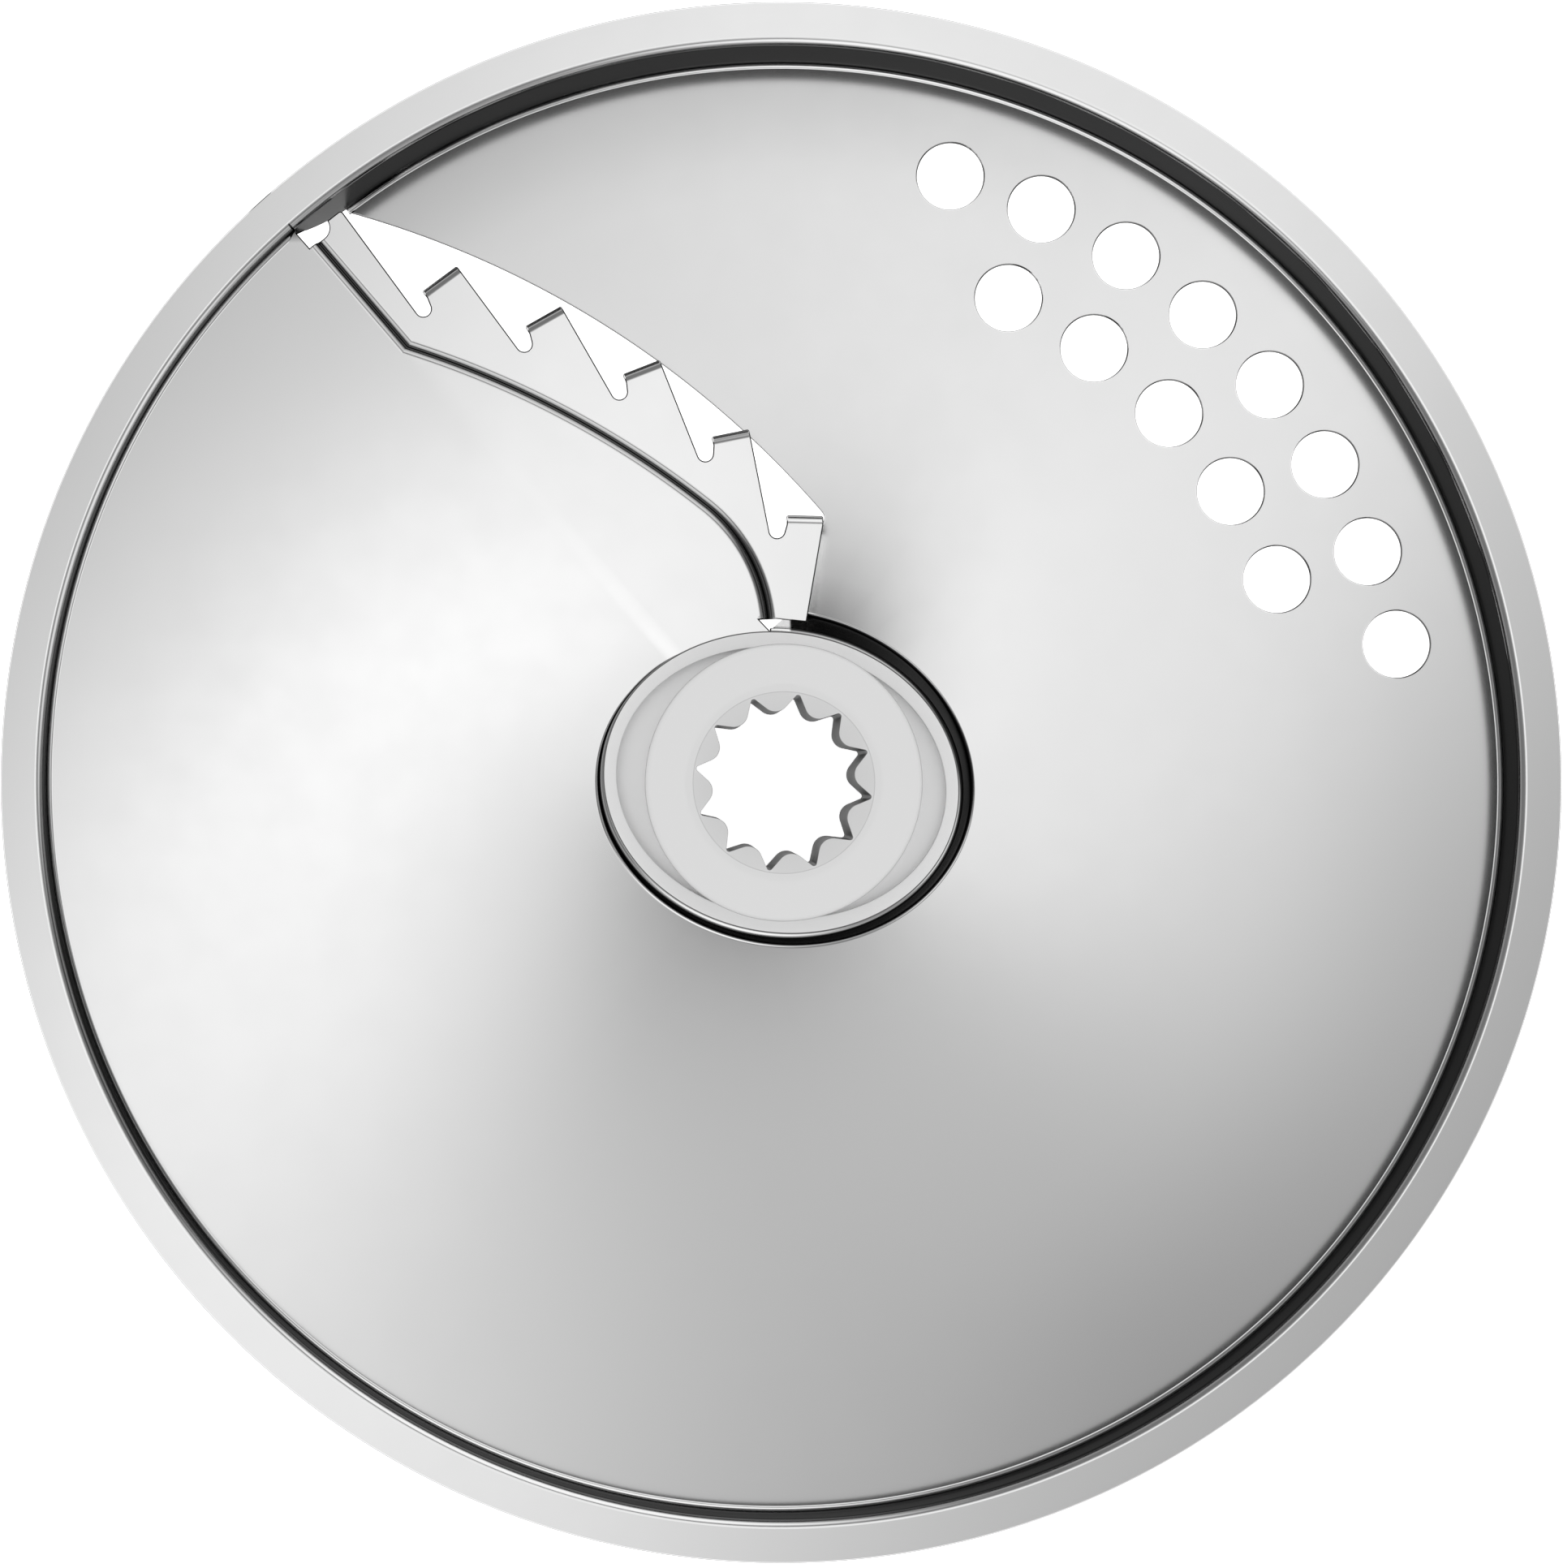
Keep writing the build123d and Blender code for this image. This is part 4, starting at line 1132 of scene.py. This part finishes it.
def polished_steel():
    """Bright steel with a painted shade in its folds."""
    material, shader, tree = new_material("polished_steel")
    shader.inputs["Metallic"].default_value = 1
    tree.links.new(noise_between(tree, STEEL_GRAIN, *STEEL_ROUGHNESS), shader.inputs["Roughness"])
    tree.links.new(by_painted_shade(tree, *STEEL_AND_PAINTED_SHADE), shader.inputs["Base Color"])
    tree.links.new(by_painted_shade(tree, *STEEL_GRAZING_AND_PAINTED_SHADE), shader.inputs["Specular Tint"])
    return material


steel = polished_steel()
print("material:", steel.name)

# %% [markdown]
# The hub is light grey plastic with a soft sheen. Its socket is deep and narrow, so little light comes back
# out of it. Cycles would find that by itself, but the socket is meant to be darker still, so the same
# painted shade attribute as on the steel paints shade into it and takes away the sheen there. Cycles would
# find that by itself, but the photo's socket is darker still, so the same attribute as on the steel darkens
# it, and the lines round the flange and the boss. It also paints shaded lines round the flange, the boss and
# the socket's lead-in, and a light painted shade over the boss and the lead-in. A fine noise is the grain of
# the mould.

# %% Grey plastic
# Plain plastic and the painted shade in the socket and along the lines; the sheen is taken away there
PLASTIC_AND_PAINTED_SHADE = (0.80, 0.14)
PLASTIC_SHEEN = (0.5, 0.0)
PLASTIC_ROUGHNESS = (0.40, 0.48)
PLASTIC_GRAIN = 900


def grey_plastic():
    """Light grey moulded plastic with a faint grain, and painted shade in the socket and along its lines."""
    material, shader, tree = new_material("grey_plastic")
    tree.links.new(by_painted_shade(tree, *PLASTIC_AND_PAINTED_SHADE), shader.inputs["Base Color"])
    tree.links.new(by_painted_shade(tree, *PLASTIC_SHEEN), shader.inputs["Specular IOR Level"])
    tree.links.new(noise_between(tree, PLASTIC_GRAIN, *PLASTIC_ROUGHNESS), shader.inputs["Roughness"])
    return material


for piece, node, slot, material in (
    (pressed_disc, "steel_disc", "polished_steel", steel),
    (moulded_hub, "hub", "grey_plastic", grey_plastic()),
):
    piece.data.materials.append(material)
    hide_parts(node)
    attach(piece, "root")
    print(piece.name, "stands for", node)

# %% [markdown]
# The camera looks straight down from a little left of the axis, and its lens is shifted to put the disc
# back in the middle of the picture. A camera that is turned towards the disc would frame it as well, but
# then the rim would no longer be a true circle.

# %% Camera
VIEW_HEIGHT = 335.0
VIEW_OFFSET = -10.2
PICTURE_HEIGHT = 135.51
PICTURE_CENTRE = (0.03, -0.12)
SENSOR_WIDTH = 36
NEAREST_SEEN = 0.01
camera = bpy.data.objects.new("camera", bpy.data.cameras.new("camera"))
bpy.context.scene.collection.objects.link(camera)
camera.location = (VIEW_OFFSET * MM, 0, (RIM_LEVEL + VIEW_HEIGHT) * MM)
camera.data.sensor_width = SENSOR_WIDTH
camera.data.lens = SENSOR_WIDTH * VIEW_HEIGHT / PICTURE_HEIGHT
camera.data.shift_x = (PICTURE_CENTRE[0] - VIEW_OFFSET) / PICTURE_HEIGHT
camera.data.shift_y = PICTURE_CENTRE[1] / PICTURE_HEIGHT
camera.data.clip_start = NEAREST_SEEN
bpy.context.scene.camera = camera
print("lens", round(camera.data.lens, 1), "mm")

# %% [markdown]
# Polished steel shows nothing but its surroundings, so the studio decides how every curve reads. It is a
# grey room with one broad light overhead, whose level falls off across it, brighter patches within that
# light, a paler band above the horizon and a few soft boxes at the sides that draw the bright lines along
# the folds. Matt surfaces see an even white sky instead.

# %% Studio light
OVERHEAD_AZIMUTH = -30.0
OVERHEAD_REACH = 0.3
OVERHEAD_STOPS = ((0.0, 0.30), (0.125, 0.50), (0.2, 0.62), (0.3, 0.78), (0.4, 1.07), (0.5, 1.18),
                  (0.6, 1.06), (0.7, 0.80), (0.8, 0.60), (0.875, 0.48), (1.0, 0.30))
OVERHEAD_EDGE = (0.88, 0.965)
ROOM_LEVEL = 0.20
HORIZON_EDGE = (0.5, 0.3)
HORIZON_GLOW = 0.25
# Each patch or box: azimuth, angle from the zenith, radii of its core and its edge in degrees, and level
PATCHES = {
    "bright": (188, 4.2, 0, 6.4, 0.30),
    "south_west": (225, 7.0, 0, 5.5, 0.11),
    "north": (105, 12, 2, 8.5, 0.14),
    "flat_sector": (90, 4.0, 0.5, 4.4, 0.11),
    "dim_south": (290, 8.5, 0, 6, -0.08),
}
SOFT_BOXES = {
    "south": (255, 48, 10, 28, 0.95),
    "south_east": (340, 48, 8, 24, 0.70),
    "north": (68, 56, 12, 30, 1.0),
    "low_south": (300, 85, 20, 60, 0.15),
    "dark_east": (15, 85, 20, 50, -0.19),
}

world = bpy.data.worlds.new("studio")
bpy.context.scene.world = world
world.use_nodes = True
nodes, links = world.node_tree.nodes, world.node_tree.links
direction = nodes.new("ShaderNodeTexCoord").outputs["Generated"]
print("patches:", list(PATCHES), "soft boxes:", list(SOFT_BOXES))

# %% Nodes of the studio
def towards(axis):
    """Socket with how far the direction leans towards an axis."""
    lean = nodes.new("ShaderNodeVectorMath")
    lean.operation = "DOT_PRODUCT"
    lean.inputs[1].default_value = axis
    links.new(direction, lean.inputs[0])
    return lean.outputs["Value"]


def spread(value, low, high, top=1.0, smooth=True):
    """Socket that goes from 0 to a top level while a value goes from low to high."""
    span = nodes.new("ShaderNodeMapRange")
    span.interpolation_type = "SMOOTHSTEP" if smooth else "LINEAR"
    span.inputs["From Min"].default_value = low
    span.inputs["From Max"].default_value = high
    span.inputs["To Max"].default_value = top
    links.new(value, span.inputs["Value"])
    return span.outputs["Result"]


def soft_box(azimuth, from_zenith, core, edge, level):
    """Socket with a round patch of light in the sky."""
    turn, tilt = radians(azimuth), radians(from_zenith)
    axis = (cos(turn) * sin(tilt), sin(turn) * sin(tilt), cos(tilt))
    return spread(towards(axis), cos(radians(edge)), cos(radians(core)), level)


def added(first, second):
    """Socket with the sum of two."""
    return math_node(world.node_tree, "ADD", first, second)


# %% Studio put together
across = towards((cos(radians(OVERHEAD_AZIMUTH)), sin(radians(OVERHEAD_AZIMUTH)), 0))
overhead = nodes.new("ShaderNodeValToRGB")
overhead.color_ramp.interpolation = "B_SPLINE"
for stop in OVERHEAD_STOPS[2:]:
    overhead.color_ramp.elements.new(stop[0])
for element, (position, level) in zip(overhead.color_ramp.elements, OVERHEAD_STOPS):
    element.position = position
    element.color = (level, level, level, 1)
links.new(spread(across, -OVERHEAD_REACH, OVERHEAD_REACH, smooth=False), overhead.inputs["Fac"])
top_light = overhead.outputs["Color"]
for patch in PATCHES.values():
    top_light = added(top_light, soft_box(*patch))
room = nodes.new("ShaderNodeValue").outputs[0]
room.default_value = ROOM_LEVEL
room = added(room, spread(towards((0, 0, 1)), *HORIZON_EDGE, HORIZON_GLOW))
for box in SOFT_BOXES.values():
    room = added(room, soft_box(*box))
studio = blended(world.node_tree, spread(towards((0, 0, 1)), *OVERHEAD_EDGE), room, top_light)
path = nodes.new("ShaderNodeLightPath")
even = math_node(world.node_tree, "MAXIMUM", path.outputs["Is Camera Ray"], path.outputs["Is Diffuse Ray"])
links.new(blended(world.node_tree, even, studio, 1.0), nodes["Background"].inputs["Color"])
print("nodes of the studio:", len(nodes))

# %% [markdown]
# The disc lies on a white ground that is too bright to show any grain. A white matt surface alone would
# look grey through the holes, where the disc shades it, so a glow is added, and only the camera and
# mirroring surfaces see that glow. A plain emission would also light the disc from below.

# %% Floor
FLOOR_GLOW = 0.93
FLOOR_GREY = 0.9
FLOOR_REACH = 2

floor_mesh = bpy.data.meshes.new("floor")
floor_corners = [(x * FLOOR_REACH, y * FLOOR_REACH, 0) for x, y in ((-1, -1), (1, -1), (1, 1), (-1, 1))]
floor_mesh.from_pydata(floor_corners, [], [(0, 1, 2, 3)])
floor = new_piece("floor", floor_mesh)
material, shader, tree = new_material("white_floor")
shader.inputs["Base Color"].default_value = (FLOOR_GREY, FLOOR_GREY, FLOOR_GREY, 1)
shader.inputs["Roughness"].default_value = 1
shader.inputs["Specular IOR Level"].default_value = 0
glow = tree.nodes.new("ShaderNodeEmission")
glow.inputs["Strength"].default_value = FLOOR_GLOW
both = tree.nodes.new("ShaderNodeAddShader")
tree.links.new(shader.outputs["BSDF"], both.inputs[0])
tree.links.new(glow.outputs["Emission"], both.inputs[1])
shown = tree.nodes.new("ShaderNodeMixShader")
path = tree.nodes.new("ShaderNodeLightPath")
seen = math_node(tree, "MAXIMUM", path.outputs["Is Camera Ray"], path.outputs["Is Glossy Ray"])
seen_through = math_node(tree, "MAXIMUM", seen, path.outputs["Is Transmission Ray"])
tree.links.new(seen_through, shown.inputs[0])
tree.links.new(shader.outputs["BSDF"], shown.inputs[1])
tree.links.new(both.outputs["Shader"], shown.inputs[2])
tree.links.new(shown.outputs["Shader"], tree.nodes["Material Output"].inputs["Surface"])
floor_mesh.materials.append(material)
bpy.context.scene.view_settings.view_transform = "Standard"
print("floor glows at", FLOOR_GLOW)
